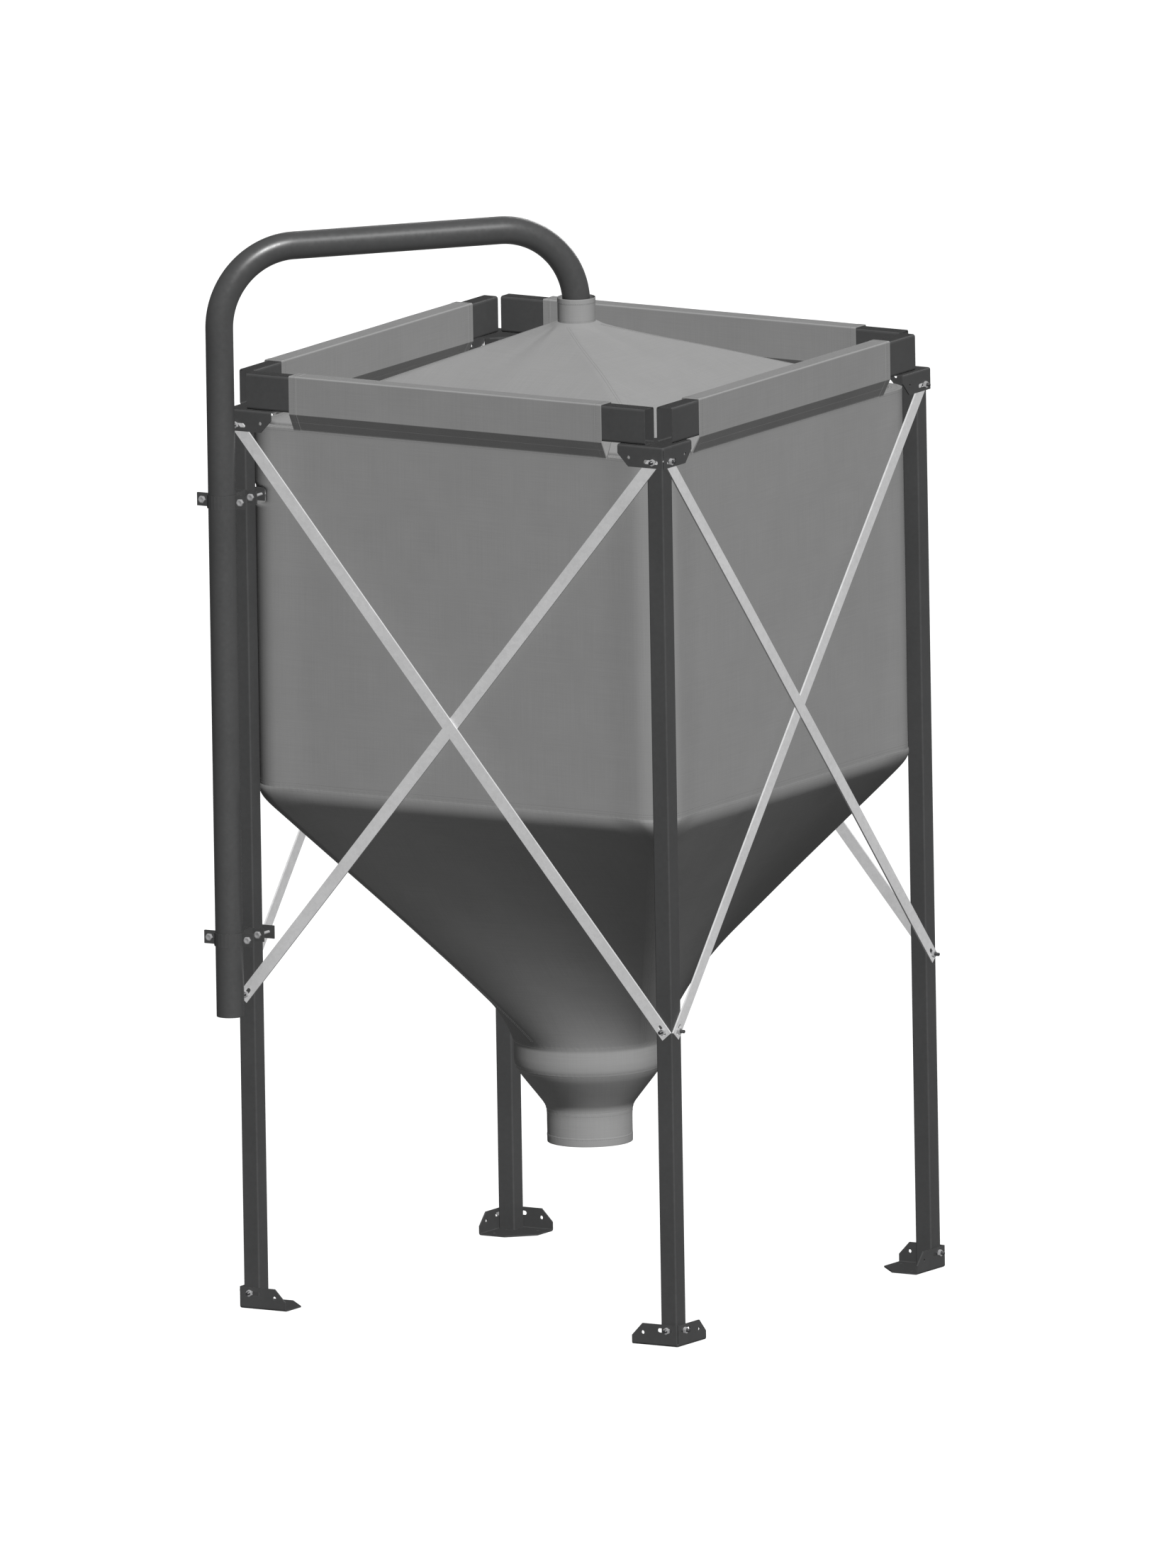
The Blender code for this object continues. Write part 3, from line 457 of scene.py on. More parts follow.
def cloth_mesh(name, outer, inner, seam, closed, uv=None, wrap_rows=False):
    """Closed sheet of cloth between an outer and an inner grid of points."""
    rows, cols = outer.shape[:2]
    total = rows * cols
    verts = np.concatenate([outer.reshape(-1, 3), inner.reshape(-1, 3)])
    n_i = rows if wrap_rows else rows - 1
    n_j = cols if closed else cols - 1
    i, j = [a.ravel() for a in np.meshgrid(np.arange(n_i), np.arange(n_j),
                                           indexing="ij")]
    i2, j2 = (i + 1) % rows, (j + 1) % cols
    a, b, c, d = i * cols + j, i * cols + j2, i2 * cols + j2, i2 * cols + j
    # cloth coordinates of the four corners of every face
    if uv is None:
        raise ValueError(name)
    if uv.ndim == 4:                       # gores: (rows, quarter, k, 2)
        per = uv.shape[2] - 1
        q, k = j // per, j % per
        ca, cb = uv[i, q, k], uv[i, q, k + 1]
        cc, cd = uv[i2, q, k + 1], uv[i2, q, k]
    else:                                  # (rows + 1, cols + 1, 2)
        ca, cb = uv[i, j], uv[i, j + 1]
        cc, cd = uv[i + 1, j + 1], uv[i + 1, j]
    faces = [np.stack([a, b, c, d], 1),
             np.stack([a, d, c, b], 1) + total]
    coords = [np.stack([ca, cb, cc, cd], 1), np.stack([ca, cd, cc, cb], 1)]
    if not wrap_rows:
        for row, flip in ((0, False), (rows - 1, True)):
            sel = (i == (row if row == 0 else rows - 2))
            p, q2 = (a, b) if row == 0 else (d, c)
            p, q2 = p[sel], q2[sel]
            up_, uq_ = (ca, cb) if row == 0 else (cd, cc)
            up_, uq_ = up_[sel], uq_[sel]
            f = np.stack([q2, p, p + total, q2 + total], 1)
            w = np.stack([uq_, up_, up_, uq_], 1)
            if flip:
                f, w = f[:, ::-1], w[:, ::-1]
            faces.append(f)
            coords.append(w)
    if not closed:
        for col, flip in ((0, True), (cols - 1, False)):
            sel = (j == (col if col == 0 else cols - 2))
            p, q2 = (a, d) if col == 0 else (b, c)
            p, q2 = p[sel], q2[sel]
            up_, uq_ = (ca, cd) if col == 0 else (cb, cc)
            up_, uq_ = up_[sel], uq_[sel]
            f = np.stack([q2, p, p + total, q2 + total], 1)
            w = np.stack([uq_, up_, up_, uq_], 1)
            if flip:
                f, w = f[:, ::-1], w[:, ::-1]
            faces.append(f)
            coords.append(w)
    faces = np.concatenate(faces)
    coords = np.concatenate(coords).reshape(-1, 2)
    mesh = bpy.data.meshes.new(name)
    mesh.vertices.add(len(verts))
    mesh.vertices.foreach_set("co", verts.astype(np.float32).ravel())
    mesh.loops.add(faces.size)
    mesh.loops.foreach_set("vertex_index", faces.astype(np.int32).ravel())
    mesh.polygons.add(len(faces))
    mesh.polygons.foreach_set("loop_start",
                              np.arange(0, faces.size, 4, dtype=np.int32))
    mesh.update(calc_edges=True)
    layer = mesh.uv_layers.new(name="cloth")
    layer.data.foreach_set("uv", coords.astype(np.float32).ravel())
    tag = mesh.attributes.new("seam", "FLOAT", "POINT")
    s = np.broadcast_to(seam, (rows, cols)).ravel()
    tag.data.foreach_set("value", np.concatenate([s, s]).astype(np.float32))
    mesh.validate()
    return mesh


def sew(paths, pitch=0.006, length=0.0045, r=0.0004, lift=-0.00008):
    """Thread stitches along (points, normals) paths: vertices and faces."""
    centre, tangent, normal = [], [], []
    for pts, nrm in paths:
        step = np.linalg.norm(np.diff(pts, axis=0), axis=1)
        run = np.concatenate([[0.0], np.cumsum(step)])
        count = max(1, int(run[-1] / pitch))
        at = (np.arange(count) + 0.5) * run[-1] / count
        mid = np.stack([np.interp(at, run, pts[:, k]) for k in range(3)], 1)
        ahead = np.stack([np.interp(at + 0.001, run, pts[:, k])
                          - np.interp(at - 0.001, run, pts[:, k])
                          for k in range(3)], 1)
        up = np.stack([np.interp(at, run, nrm[:, k]) for k in range(3)], 1)
        centre.append(mid)
        tangent.append(unit(ahead))
        normal.append(unit(up))
    centre, tangent = np.concatenate(centre), np.concatenate(tangent)
    normal = np.concatenate(normal)
    side = unit(np.cross(tangent, normal))
    normal = unit(np.cross(side, tangent))
    rings = []
    for t, h, w in ((-0.5, -0.6, 0.55), (-0.34, 0.35, 1.0), (0.0, 0.62, 1.1),
                    (0.34, 0.35, 1.0), (0.5, -0.6, 0.55)):
        for k in range(5):
            ang = 2 * math.pi * k / 5
            rings.append(centre + tangent * (t * length)
                         + normal * (lift + h * r + r * w * math.sin(ang))
                         + side * (r * w * math.cos(ang)))
    verts = np.stack(rings, 1)                      # (stitches, 25, 3)
    faces = []
    for ring in range(4):
        for k in range(5):
            k2 = (k + 1) % 5
            faces.append((ring * 5 + k, ring * 5 + k2, ring * 5 + 5 + k2,
                          ring * 5 + 5 + k))
    quads = (np.array(faces)[None] + 25 * np.arange(len(verts))[:, None, None]
             ).reshape(-1, 4)
    caps = []
    for ring, order in ((0, (4, 3, 2, 1, 0)), (20, (0, 1, 2, 3, 4))):
        caps.append([ring + k for k in order])
    caps = (np.array(caps)[None] + 25 * np.arange(len(verts))[:, None, None]
            ).reshape(-1, 5)
    return verts.reshape(-1, 3), [tuple(f) for f in quads] + [tuple(f)
                                                              for f in caps]


def stitching(name, paths):
    verts, faces = sew(paths)
    return settle(name, mesh_of(name, verts, faces), [thread_mat],
                  60)


def at_height(g, nrm, z):
    """Closed path round a grid whose rows rise, at height z."""
    zs = g[:, :, 2]
    pts, ups = [], []
    for j in range(g.shape[1]):
        order = np.argsort(zs[:, j])
        pts.append([np.interp(z, zs[order, j], g[order, j, k])
                    for k in range(3)])
        ups.append([np.interp(z, zs[order, j], nrm[order, j, k])
                    for k in range(3)])
    pts, ups = np.array(pts), unit(np.array(ups))
    return (np.concatenate([pts, pts[:1]]), np.concatenate([ups, ups[:1]]))


def beside(g, nrm, col, shift, lo=0, hi=None):
    """Path down a column of a grid, moved sideways over the cloth."""
    line, up = g[lo:hi, col], nrm[lo:hi, col]
    # stay on the surface: step towards the neighbouring column
    near = g[lo:hi, (col + (1 if shift > 0 else -1)) % g.shape[1]]
    gap = near - line
    size = np.linalg.norm(gap, axis=1, keepdims=True)
    return line + gap / np.maximum(size, 1e-9) * abs(shift), up


# ------------------------------------------------------------ bag's section
ARC, FLAT = 16, 56
PER = ARC + FLAT
ROUND_N = 4 * PER


FRACS = [0.0, 0.0022, 0.0075, 0.0170]
FRACS = np.array(FRACS + list(np.linspace(0.0330, 0.5, FLAT // 2 - 3)))
FRACS = np.concatenate([FRACS, 1 - FRACS[-2::-1]])


def section(half, radius):
    """Rounded square, from the middle of the front right corner."""
    flat = half - radius
    local = [(flat + radius * math.cos(math.radians(-45 + 90.0 * k / ARC)),
              -flat + radius * math.sin(math.radians(-45 + 90.0 * k / ARC)))
             for k in range(ARC // 2 + 1)]
    local += [(half, -flat + 2 * flat * FRACS[k]) for k in range(1, FLAT)]
    local += [(flat + radius * math.cos(math.radians(90.0 * k / ARC)),
               flat + radius * math.sin(math.radians(90.0 * k / ARC)))
              for k in range(ARC // 2)]
    out = []
    for q in range(4):
        c, s = math.cos(math.pi / 2 * q), math.sin(math.pi / 2 * q)
        out += [(x * c - y * s, x * s + y * c) for x, y in local]
    return np.array(out)


BASE = section(BAG_HALF, BAG_R)
steps = np.linalg.norm(np.roll(BASE, -1, 0) - BASE, axis=1)
SHARE = np.concatenate([[0.0], np.cumsum(steps)[:-1]]) / steps.sum()
ROUND_ANG = 2 * math.pi * SHARE - math.pi / 4
FOOT = np.stack([np.cos(ROUND_ANG + TWIST), np.sin(ROUND_ANG + TWIST)], 1)


def smooth(v):
    v = np.clip(v, 0.0, 1.0)
    return v * v * (3 - 2 * v)


def wave(p, scale, seed):
    """Smooth repeatable unevenness at each point of a grid, -1 to 1."""
    flat = p.reshape(-1, 3) * scale
    return np.array([noise.noise(Vector((x + seed, y - seed, z + 2 * seed)))
                     for x, y, z in flat]).reshape(p.shape[:-1])


def lift3(xy, z):
    return np.concatenate([xy, np.full((len(xy), 1), z)], 1)


def bez(p, q, r, v):
    return (1 - v) ** 2 * p + 2 * v * (1 - v) * q + v * v * r


# -------------------------------------------- upright wall and hopper's skin
edge = section(BAG_HALF, HOPPER_R)
foot = RING_R * FOOT
fall = HOPPER_Z - ZK
near = np.minimum(abs(BASE[:, 0]), abs(BASE[:, 1])) - (BAG_HALF - BAG_R - 0.12)
deep = TURN_SIDE + (TURN_CORNER - TURN_SIDE) * smooth(
    near / (0.12 + 0.3 * BAG_R))


def ruled(z):
    """Point of the straight hopper wall at height z (one height a column)."""
    f = ((HOPPER_Z - z) / fall)[:, None]
    return np.concatenate([edge + (foot - edge) * f, z[:, None]], 1)


flatz = np.full(ROUND_N, 1.0)
turn_a = lift3(BASE, BAG_Z0 - 0.0003)
turn_b = lift3(edge, HOPPER_Z)
turn_c = ruled(HOPPER_Z - deep)
foot_a = ruled(ZB * flatz)
foot_b = lift3(foot, ZK)
foot_c = lift3(foot, ZR)
qa, qb, qc = ZB - 2 * ZK + ZR, 2 * (ZK - ZB), ZB - (RING_Z1 + 0.0003)
LAST = (-qb - math.sqrt(qb * qb - 4 * qa * qc)) / (2 * qa)
hop = [bez(turn_a, turn_b, turn_c, v) for v in np.linspace(0, 1, 17)]
for k in range(1, 24):
    hop.append(ruled((HOPPER_Z - deep) + (ZB - HOPPER_Z + deep) * k / 24))
hop += [bez(foot_a, foot_b, foot_c, v) for v in np.linspace(0, LAST, 36)]
hop = np.array(hop)[::-1]                       # lowest row first
band_top = np.array([bez(foot_a, foot_b, foot_c, v)
                     for v in np.linspace(1.0, LAST, 6)])   # rises


def dented(g, depth):
    """The cloth gives way behind the upper pipe clamp."""
    x, y, z = g[..., 0], g[..., 1], g[..., 2]
    across = (x - y) / math.sqrt(2) - 0.010
    d = (np.exp(-(abs(z - CLAMP_Z[1]) / 0.0225) ** 8)
         * np.exp(-(across / 0.027) ** 2))
    d = np.where((x > -0.40) | (y > -0.40), 0.0, d) * depth / math.sqrt(2)
    out = g.copy()
    out[..., 0] += d
    out[..., 1] += d
    return out


heights = np.concatenate([
    np.linspace(BAG_Z0, 1.490, 6)[:-1], np.linspace(1.490, 2.100, 28)[:-1],
    np.linspace(2.100, 2.190, 5)[:-1], np.linspace(2.190, 2.320, 27)[:-1],
    np.linspace(2.320, 2.425, 7)[:-1], np.linspace(2.425, CREST_Z - 0.002, 6),
    [CREST_Z - 0.0008, CREST_Z]])
wall = np.array([lift3(BASE, z) for z in heights])
# filled cloth swells a little between its edges and is never quite even
swell = np.sin(math.pi * np.clip((wall[..., 2] - BAG_Z0) / (CREST_Z - BAG_Z0),
                                 0, 1)) ** 0.8
side_pos = np.maximum(abs(BASE[:, 0]), abs(BASE[:, 1]))
mid_pos = np.minimum(abs(BASE[:, 0]), abs(BASE[:, 1]))
panel = np.cos(np.clip(mid_pos / BAG_HALF, 0, 1) * math.pi / 2) ** 1.2
wall_n = grid_normals(wall, True)
ripple = wave(wall, 2.6, 3.1) * 0.6 + wave(wall * (1, 1, 0.45), 6.5, 8.7) * 0.4
rise_fade = smooth((wall[..., 2] - BAG_Z0) / 0.08) * smooth(
    (CREST_Z - wall[..., 2]) / 0.08)
wall = wall + wall_n * (0.0030 * swell * panel
                        + 0.0011 * ripple * rise_fade)[..., None]
corner_pos = smooth((mid_pos - (BAG_HALF - BAG_R - 0.10)) / 0.10)
wall = wall + wall_n * (CORNER_SWELL * corner_pos)[None, :, None]
wall = dented(wall, DENT)
ledge_rows = []
for inset in (0.0005, 0.004, 0.010, 0.018, 0.026, LEDGE):
    ring = lift3(section(BAG_HALF - inset, BAG_R - inset), CREST_Z)
    ring += wall_n[-2] * (CORNER_SWELL * corner_pos
                          * (1 - inset / LEDGE))[:, None]
    ledge_rows.append(ring)
wall_all = np.concatenate([wall, np.array(ledge_rows)])

hop_n = grid_normals(hop, True)
hop_fade = smooth((hop[..., 2] - 0.76) / 0.22) * smooth(
    (BAG_Z0 - hop[..., 2]) / 0.10)
hop_ripple = wave(hop, 3.2, 5.5) * 0.6 + wave(hop, 8.0, 1.9) * 0.4
hop = hop + hop_n * (0.0012 * hop_ripple * hop_fade
                     + CORNER_SWELL * corner_pos * smooth(
                         (hop[..., 2] - 1.375) / 0.0747))[..., None]


def cloth_piece(name, g, nodes, seam,
                thick=CLOTH, sharp=40, mat=None):
    nrm = grid_normals(g, True)
    mesh = cloth_mesh(name, g, g - nrm * thick, seam, True, gore_uv(g))
    obj = settle(name, mesh, [mat or cloth_mat], sharp, nodes)
    return obj, nrm


def seam_rows(g, marks):
    """Distance of each point from the nearest seam height."""
    d = np.full(g.shape[:2], 1.0)
    for z in marks:
        d = np.minimum(d, abs(g[..., 2] - z))
    return d


# ---------------------------------------------------------------- the roof
riser_top = CREST_Z + RISER + RISER_R * math.sin(math.pi / 2 - ROOF_PITCH)
riser_in = LEDGE + RISER_R * (1 - math.cos(math.pi / 2 - ROOF_PITCH))
roof_rows = [lift3(section(BAG_HALF - LEDGE, BAG_R - LEDGE), z)
             for z in (CREST_Z + 0.0001, CREST_Z + 0.5 * RISER,
                       CREST_Z + RISER)]
for k in range(1, 6):
    ang = (math.pi / 2 - ROOF_PITCH) * k / 6
    inset = LEDGE + RISER_R * (1 - math.cos(ang))
    roof_rows.append(lift3(section(BAG_HALF - inset, BAG_R - inset),
                           CREST_Z + RISER + RISER_R * math.sin(ang)))
low = lift3(section(BAG_HALF - riser_in, BAG_R - riser_in), riser_top)
# the gores meet the round collar a little turned, and fold along straight
# lines from the corners and the middles of the sides
run = np.concatenate([[0.0], np.cumsum(np.linalg.norm(
    np.diff(low, axis=0), axis=1))])
quarter = np.linalg.norm(np.roll(low, -1, 0) - low, axis=1).sum() / 4
knots_j = [0, ARC // 2, ARC // 2 + FLAT // 2, ARC // 2 + FLAT, PER]
knots_a = [-78.0, -70.0, -18.0, 4.0, 12.0]
top_round = np.zeros((ROUND_N, 3))
top_chord = np.zeros((ROUND_N, 3))
for q in range(4):
    for a in range(4):
        j0, j1 = knots_j[a], knots_j[a + 1]
        s0 = run[j0]
        s1 = run[j1] if a < 3 else quarter
        a0 = math.radians(knots_a[a] + 90 * q)
        a1 = math.radians(knots_a[a + 1] + 90 * q)
        p0 = COLLAR_R * np.array((math.cos(a0), math.sin(a0)))
        p1 = COLLAR_R * np.array((math.cos(a1), math.sin(a1)))
        for j in range(j0, j1):
            f = (run[j] - s0) / (s1 - s0)
            ang = a0 + (a1 - a0) * f
            top_round[q * PER + j] = (COLLAR_R * math.cos(ang),
                                      COLLAR_R * math.sin(ang), COLLAR_Z0)
            top_chord[q * PER + j] = (*(p0 + (p1 - p0) * f), COLLAR_Z0)
fs = np.concatenate([np.linspace(0, 0.04, 5)[:-1],
                     np.linspace(0.04, 0.88, 34)[:-1],
                     np.linspace(0.88, 1.0, 13)])
half_low, half_top = BAG_HALF - riser_in, COLLAR_R
for f in fs:
    goal = top_chord + (top_round - top_chord) * smooth((f - 0.93) / 0.07)
    size = half_low + (half_top - half_low) * f
    turn = f * half_top / size           # share of the collar's outline
    turn = min(1.0, turn * (1 + 0.45 * smooth((f - 0.55) / 0.30)))
    ring = low + (goal - low) * f
    ring[:, :2] = size * ((1 - turn) * low[:, :2] / half_low
                          + turn * goal[:, :2] / half_top)
    # a shallow valley runs beside the fold from the middle of each side
    for q in range(4):
        mid = q * PER + knots_j[2]
        for k in range(-16, 1):
            ring[mid + k, 2] -= (0.0016 * math.exp(-((k + 7) / 3.2) ** 2)
                                 * smooth((f - 0.30) / 0.45)
                                 * smooth((1 - f) / 0.10))
    roof_rows.append(ring)
roof = np.array(roof_rows)
first = len(roof_rows) - len(fs)
for _ in range(1):                          # soften the folds a little
    side_mean = (np.roll(roof, 1, 1) + np.roll(roof, -1, 1)) / 2
    roof[first + 1:-1] += (side_mean[first + 1:-1] - roof[first + 1:-1]) * 0.5
roof_n = grid_normals(roof, True)
f_all = np.zeros(len(roof))
f_all[first:] = fs
sag = (np.sin(math.pi * f_all) ** 1.0)[:, None] * np.ones(ROUND_N)
roof_ripple = wave(roof, 4.0, 12.3)
roof_fade = smooth(f_all / 0.12) * smooth((1 - f_all) / 0.25)
roof = roof + roof_n * (-0.0016 * sag
                        + 0.0009 * roof_ripple * roof_fade[:, None])[..., None]

# ------------------------------------------------ collar, band, cone, neck


def lathe(profile, angles):
    c = np.stack([np.cos(angles), np.sin(angles)], 1)
    return np.array([lift3(r * c, z) for r, z in profile])


def spline(points, count):
    """Smooth curve through (r, z) points, evenly spaced."""
    pts = np.array(points, float)
    pad = np.concatenate([[2 * pts[0] - pts[1]], pts, [2 * pts[-1] - pts[-2]]])
    out = []
    for k in range(len(pts) - 1):
        p0, p1, p2, p3 = pad[k:k + 4]
        for t in np.linspace(0, 1, 12, endpoint=False):
            out.append(0.5 * (2 * p1 + (p2 - p0) * t
                              + (2 * p0 - 5 * p1 + 4 * p2 - p3) * t * t
                              + (3 * p1 - p0 - 3 * p2 + p3) * t ** 3))
    out.append(pts[-1])
    out = np.array(out)
    d = np.concatenate([[0.0], np.cumsum(np.linalg.norm(np.diff(out, axis=0),
                                                        axis=1))])
    at = np.linspace(0, d[-1], count)
    return np.stack([np.interp(at, d, out[:, k]) for k in range(2)], 1)


FOOT_ANG = ROUND_ANG + TWIST
def hem_rows(r, z, step=0.0005):
    """Rows of a turned-up hem whose doubled cloth starts at height z."""
    return [(r, z - 0.0030), (r, z - 0.0006), (r, z), (r + step, z + 0.0005),
            (r + step, z + 0.0012), (r + step, z + 0.0036)]


collar_prof = ([(COLLAR_R, COLLAR_Z0 + d) for d in (0, 0.001, 0.012, 0.030)]
               + hem_rows(COLLAR_R, COLLAR_Z1 - 0.0150)
               + [(COLLAR_R + 0.0005, COLLAR_Z1 - 0.0040),
                  (COLLAR_R + 0.0005, COLLAR_Z1 - 0.0010),
                  (COLLAR_R + 0.0003, COLLAR_Z1 - 0.0003),
                  (COLLAR_R - 0.0003, COLLAR_Z1)])
collar_ang = np.linspace(0, 2 * math.pi, 145)[:-1] - math.radians(78)
collar = lathe(collar_prof, collar_ang)

band_prof = spline([(0.1998, RING_Z0), (0.2028, 0.6290), (0.2042, 0.6390),
                    (0.2049, 0.6500), (RING_R, 0.6640), (RING_R, ZR)], 26)
band = np.concatenate([lathe(band_prof[:-1], FOOT_ANG), band_top])
cone_prof = spline([(NECK_R + 0.0012, NECK_Z1 + 0.0001), (0.1203, 0.5065),
                    (0.1250, 0.5165), (0.1324, 0.5270), (0.1482, 0.5476),
                    (0.1718, 0.5778), (0.1871, 0.5980), (0.1942, 0.6090),
                    (0.1997, 0.6189)], 40)
cone = lathe(cone_prof, FOOT_ANG)
HEM = 0.0230
neck_prof = [(NECK_R - 0.0003, NECK_Z0), (NECK_R + 0.0003, NECK_Z0 + 0.0004),
             (NECK_R + 0.0005, NECK_Z0 + 0.0012),
             (NECK_R + 0.0005, NECK_Z0 + 0.0040),
             (NECK_R + 0.0005, NECK_Z0 + 0.0120),
             (NECK_R + 0.0005, NECK_Z0 + HEM - 0.0040),
             (NECK_R + 0.0005, NECK_Z0 + HEM - 0.0010),
             (NECK_R + 0.0005, NECK_Z0 + HEM - 0.0005),
             (NECK_R, NECK_Z0 + HEM), (NECK_R, NECK_Z0 + HEM + 0.0006),
             (NECK_R, NECK_Z0 + HEM + 0.0030)]
neck_prof += [(NECK_R + 0.0012 * max(0.0, (z - 0.476) / 0.0216) ** 2, z)
              for z in np.linspace(NECK_Z0 + HEM + 0.006, NECK_Z1 + 0.0001,
                                   16)]
neck = lathe(neck_prof, FOOT_ANG)
neck_wave = wave(neck, 9.0, 21.0)
neck += grid_normals(neck, True) * (0.0009 * neck_wave * smooth(
    (NECK_Z1 - neck[..., 2]) / 0.04))[..., None]

# ---------------------------------------------------- make the bag's pieces
wall_seam = np.minimum(seam_rows(wall_all, (BAG_Z0, CREST_Z)),
                       1.0)
obj_wall, n_wall = cloth_piece(
    "bag_wall", wall_all, ["bag_body"], wall_seam,
    sharp=50)
obj_roof, n_roof = cloth_piece(
    "bag_roof_cloth", roof, ["bag_roof"],
    np.minimum(seam_rows(roof, (CREST_Z, COLLAR_Z0)), 1.0),
    sharp=50, mat=roof_mat)
obj_collar, n_collar = cloth_piece(
    "inlet_collar_cloth", collar, ["inlet_collar"],
    seam_rows(collar, (COLLAR_Z0, COLLAR_Z1 - 0.012)),
    sharp=50, mat=outlet_mat)
obj_hopper, n_hopper = cloth_piece(
    "bag_hopper_cloth", hop, ["bag_hopper"],
    seam_rows(hop, (BAG_Z0, RING_Z1)),
    sharp=60,
    mat=hopper_mat)
obj_band, n_band = cloth_piece(
    "outlet_band_cloth", band, ["outlet_band"],
    seam_rows(band, (RING_Z0, RING_Z1)),
    sharp=60, mat=outlet_mat)
obj_cone, n_cone = cloth_piece(
    "outlet_cone_cloth", cone, ["outlet_cone"],
    seam_rows(cone, (RING_Z0, NECK_Z1)),
    sharp=60, mat=cone_mat)
obj_neck, n_neck = cloth_piece(
    "outlet_neck_cloth", neck, ["outlet_neck"],
    seam_rows(neck, (NECK_Z1, NECK_Z0 + HEM - 0.003)),
    sharp=50, mat=outlet_mat)


# ------------------------------------------------------------- the sleeves
def fine_line(points, sizes):
    """Points of a polyline, each stretch cut into its number of pieces."""
    out = []
    for (p, q, n) in zip(points[:-1], points[1:], sizes):
        size = math.dist(p, q)
        cuts = [k / n for k in range(n)]
        if n >= 8:                     # tight beside the folds at both ends
            e1, e2 = 0.0005 / size, 0.0022 / size
            cuts = [0.0, e1, e2] + [e2 + (1 - 2 * e2) * k / (n - 5)
                                    for k in range(1, n - 5)] + [1 - e2,
                                                                 1 - e1]
        for f in cuts:
            out.append(np.array(p) + (np.array(q) - np.array(p)) * f)
    out.append(np.array(points[-1]))
    return np.array(out)


def corner_arc(cy, cz, r, a0, a1, n):
    return [(cy + r * math.cos(math.radians(a0 + (a1 - a0) * k / n)),
             cz + r * math.sin(math.radians(a0 + (a1 - a0) * k / n)))
            for k in range(n + 1)]


t = SLEEVE_T
yo = -HALF - 0.025 - 0.0003 - t               # outer face of a sleeve
yi = -HALF + 0.025 + 0.0003 + t
zt = TUBE_Z0 + TUBE_H + 0.0003 + t
zb = TUBE_Z0 - 0.0003 - t
seam_y, seam_z = yo + FLAP_IN, zb - FLAP_DOWN
tab = 0.0042
wall_side = -BAG_HALF - 0.0005                # the seam lies against the wall
R_OUT, R_IN = 0.0042, 0.0028
outer_pts = ([(seam_y - t, seam_z - tab), (seam_y - t, seam_z)]
             + corner_arc(yo + 0.003, zb + 0.0008, 0.003, 205, 180, 2)
             + corner_arc(yo + R_OUT, zt - R_OUT, R_OUT, 180, 90, 5)
             + corner_arc(yi - R_OUT, zt - R_OUT, R_OUT, 90, 0, 5)
             + corner_arc(yi - 0.003, zb + 0.0008, 0.003, 0, -25, 2)
             + [(wall_side, seam_z), (wall_side, seam_z - tab)])
outer_cut = ([1, 9] + [1] * 2 + [16] + [1] * 5 + [10] + [1] * 5 + [16]
             + [1] * 2 + [9, 1])
c = CLOTH
inner_pts = ([(seam_y - 0.0003, seam_z + 0.0030), (seam_y - 0.0003,
                                                   seam_z + 0.0034)]
             + corner_arc(yo + 0.003, zb + 0.0008, 0.0012, 205, 180, 2)
             + corner_arc(yo + c + R_IN, zt - c - R_IN, R_IN, 180, 90, 5)
             + corner_arc(yi - c - R_IN, zt - c - R_IN, R_IN, 90, 0, 5)
             + corner_arc(yi - 0.003, zb + 0.0008, 0.0012, 0, -25, 2)
             + [(seam_y + 0.0016, seam_z + 0.0034),
                (seam_y + 0.0016, seam_z + 0.0030)])
outer_line = fine_line(outer_pts, outer_cut)
inner_line = fine_line(inner_pts, outer_cut)
END = SLEEVE_LEN / 2
edge_x = np.array([0.0, 0.0004, 0.0012, 0.0040, 0.0165, 0.0210, 0.0228,
                   0.0233, 0.0238, 0.0244, 0.0270])
xs = np.concatenate([-END + edge_x, np.linspace(-END + 0.045, END - 0.045, 36),
                     END - edge_x[::-1]])
hem_step = np.where(abs(xs) > END - 0.0235, 0.0005, 0.0)
hem_step[[0, -1]] = 0.0
out3 = np.zeros((len(outer_line), len(xs), 3))
in3 = np.zeros_like(out3)
out3[..., 0] = in3[..., 0] = xs[None]
out3[..., 1], out3[..., 2] = outer_line[:, :1], outer_line[:, 1:]
in3[..., 1], in3[..., 2] = inner_line[:, :1], inner_line[:, 1:]
sleeve_n = grid_normals(out3, False)
run_v = np.concatenate([[0.0], np.cumsum(np.linalg.norm(
    np.diff(outer_line, axis=0), axis=1))])
full_v = run_v[-1] + 0.008
sleeve_uv = np.zeros((len(outer_line) + 1, len(xs), 2))
sleeve_uv[:-1, :, 0] = xs[None]
sleeve_uv[-1, :, 0] = xs
sleeve_uv[:-1, :, 1] = run_v[:, None]
sleeve_uv[-1, :, 1] = full_v
sleeve_seam = np.minimum(run_v, run_v[-1] - run_v)
sleeve_seam = np.broadcast_to(sleeve_seam[:, None], out3.shape[:2])
hem_dist = np.broadcast_to(abs(abs(xs) - (END - 0.021))[None] * 2.0,
                           out3.shape[:2])
flap_mask = smooth((run_v - 0.004) / 0.03) * smooth((run_v[-1] - run_v
                                                     - 0.004) / 0.03)


def turn_z(g, deg):
    c_, s_ = math.cos(math.radians(deg)), math.sin(math.radians(deg))
    out = g.copy()
    out[..., 0] = g[..., 0] * c_ - g[..., 1] * s_
    out[..., 1] = g[..., 0] * s_ + g[..., 1] * c_
    return out


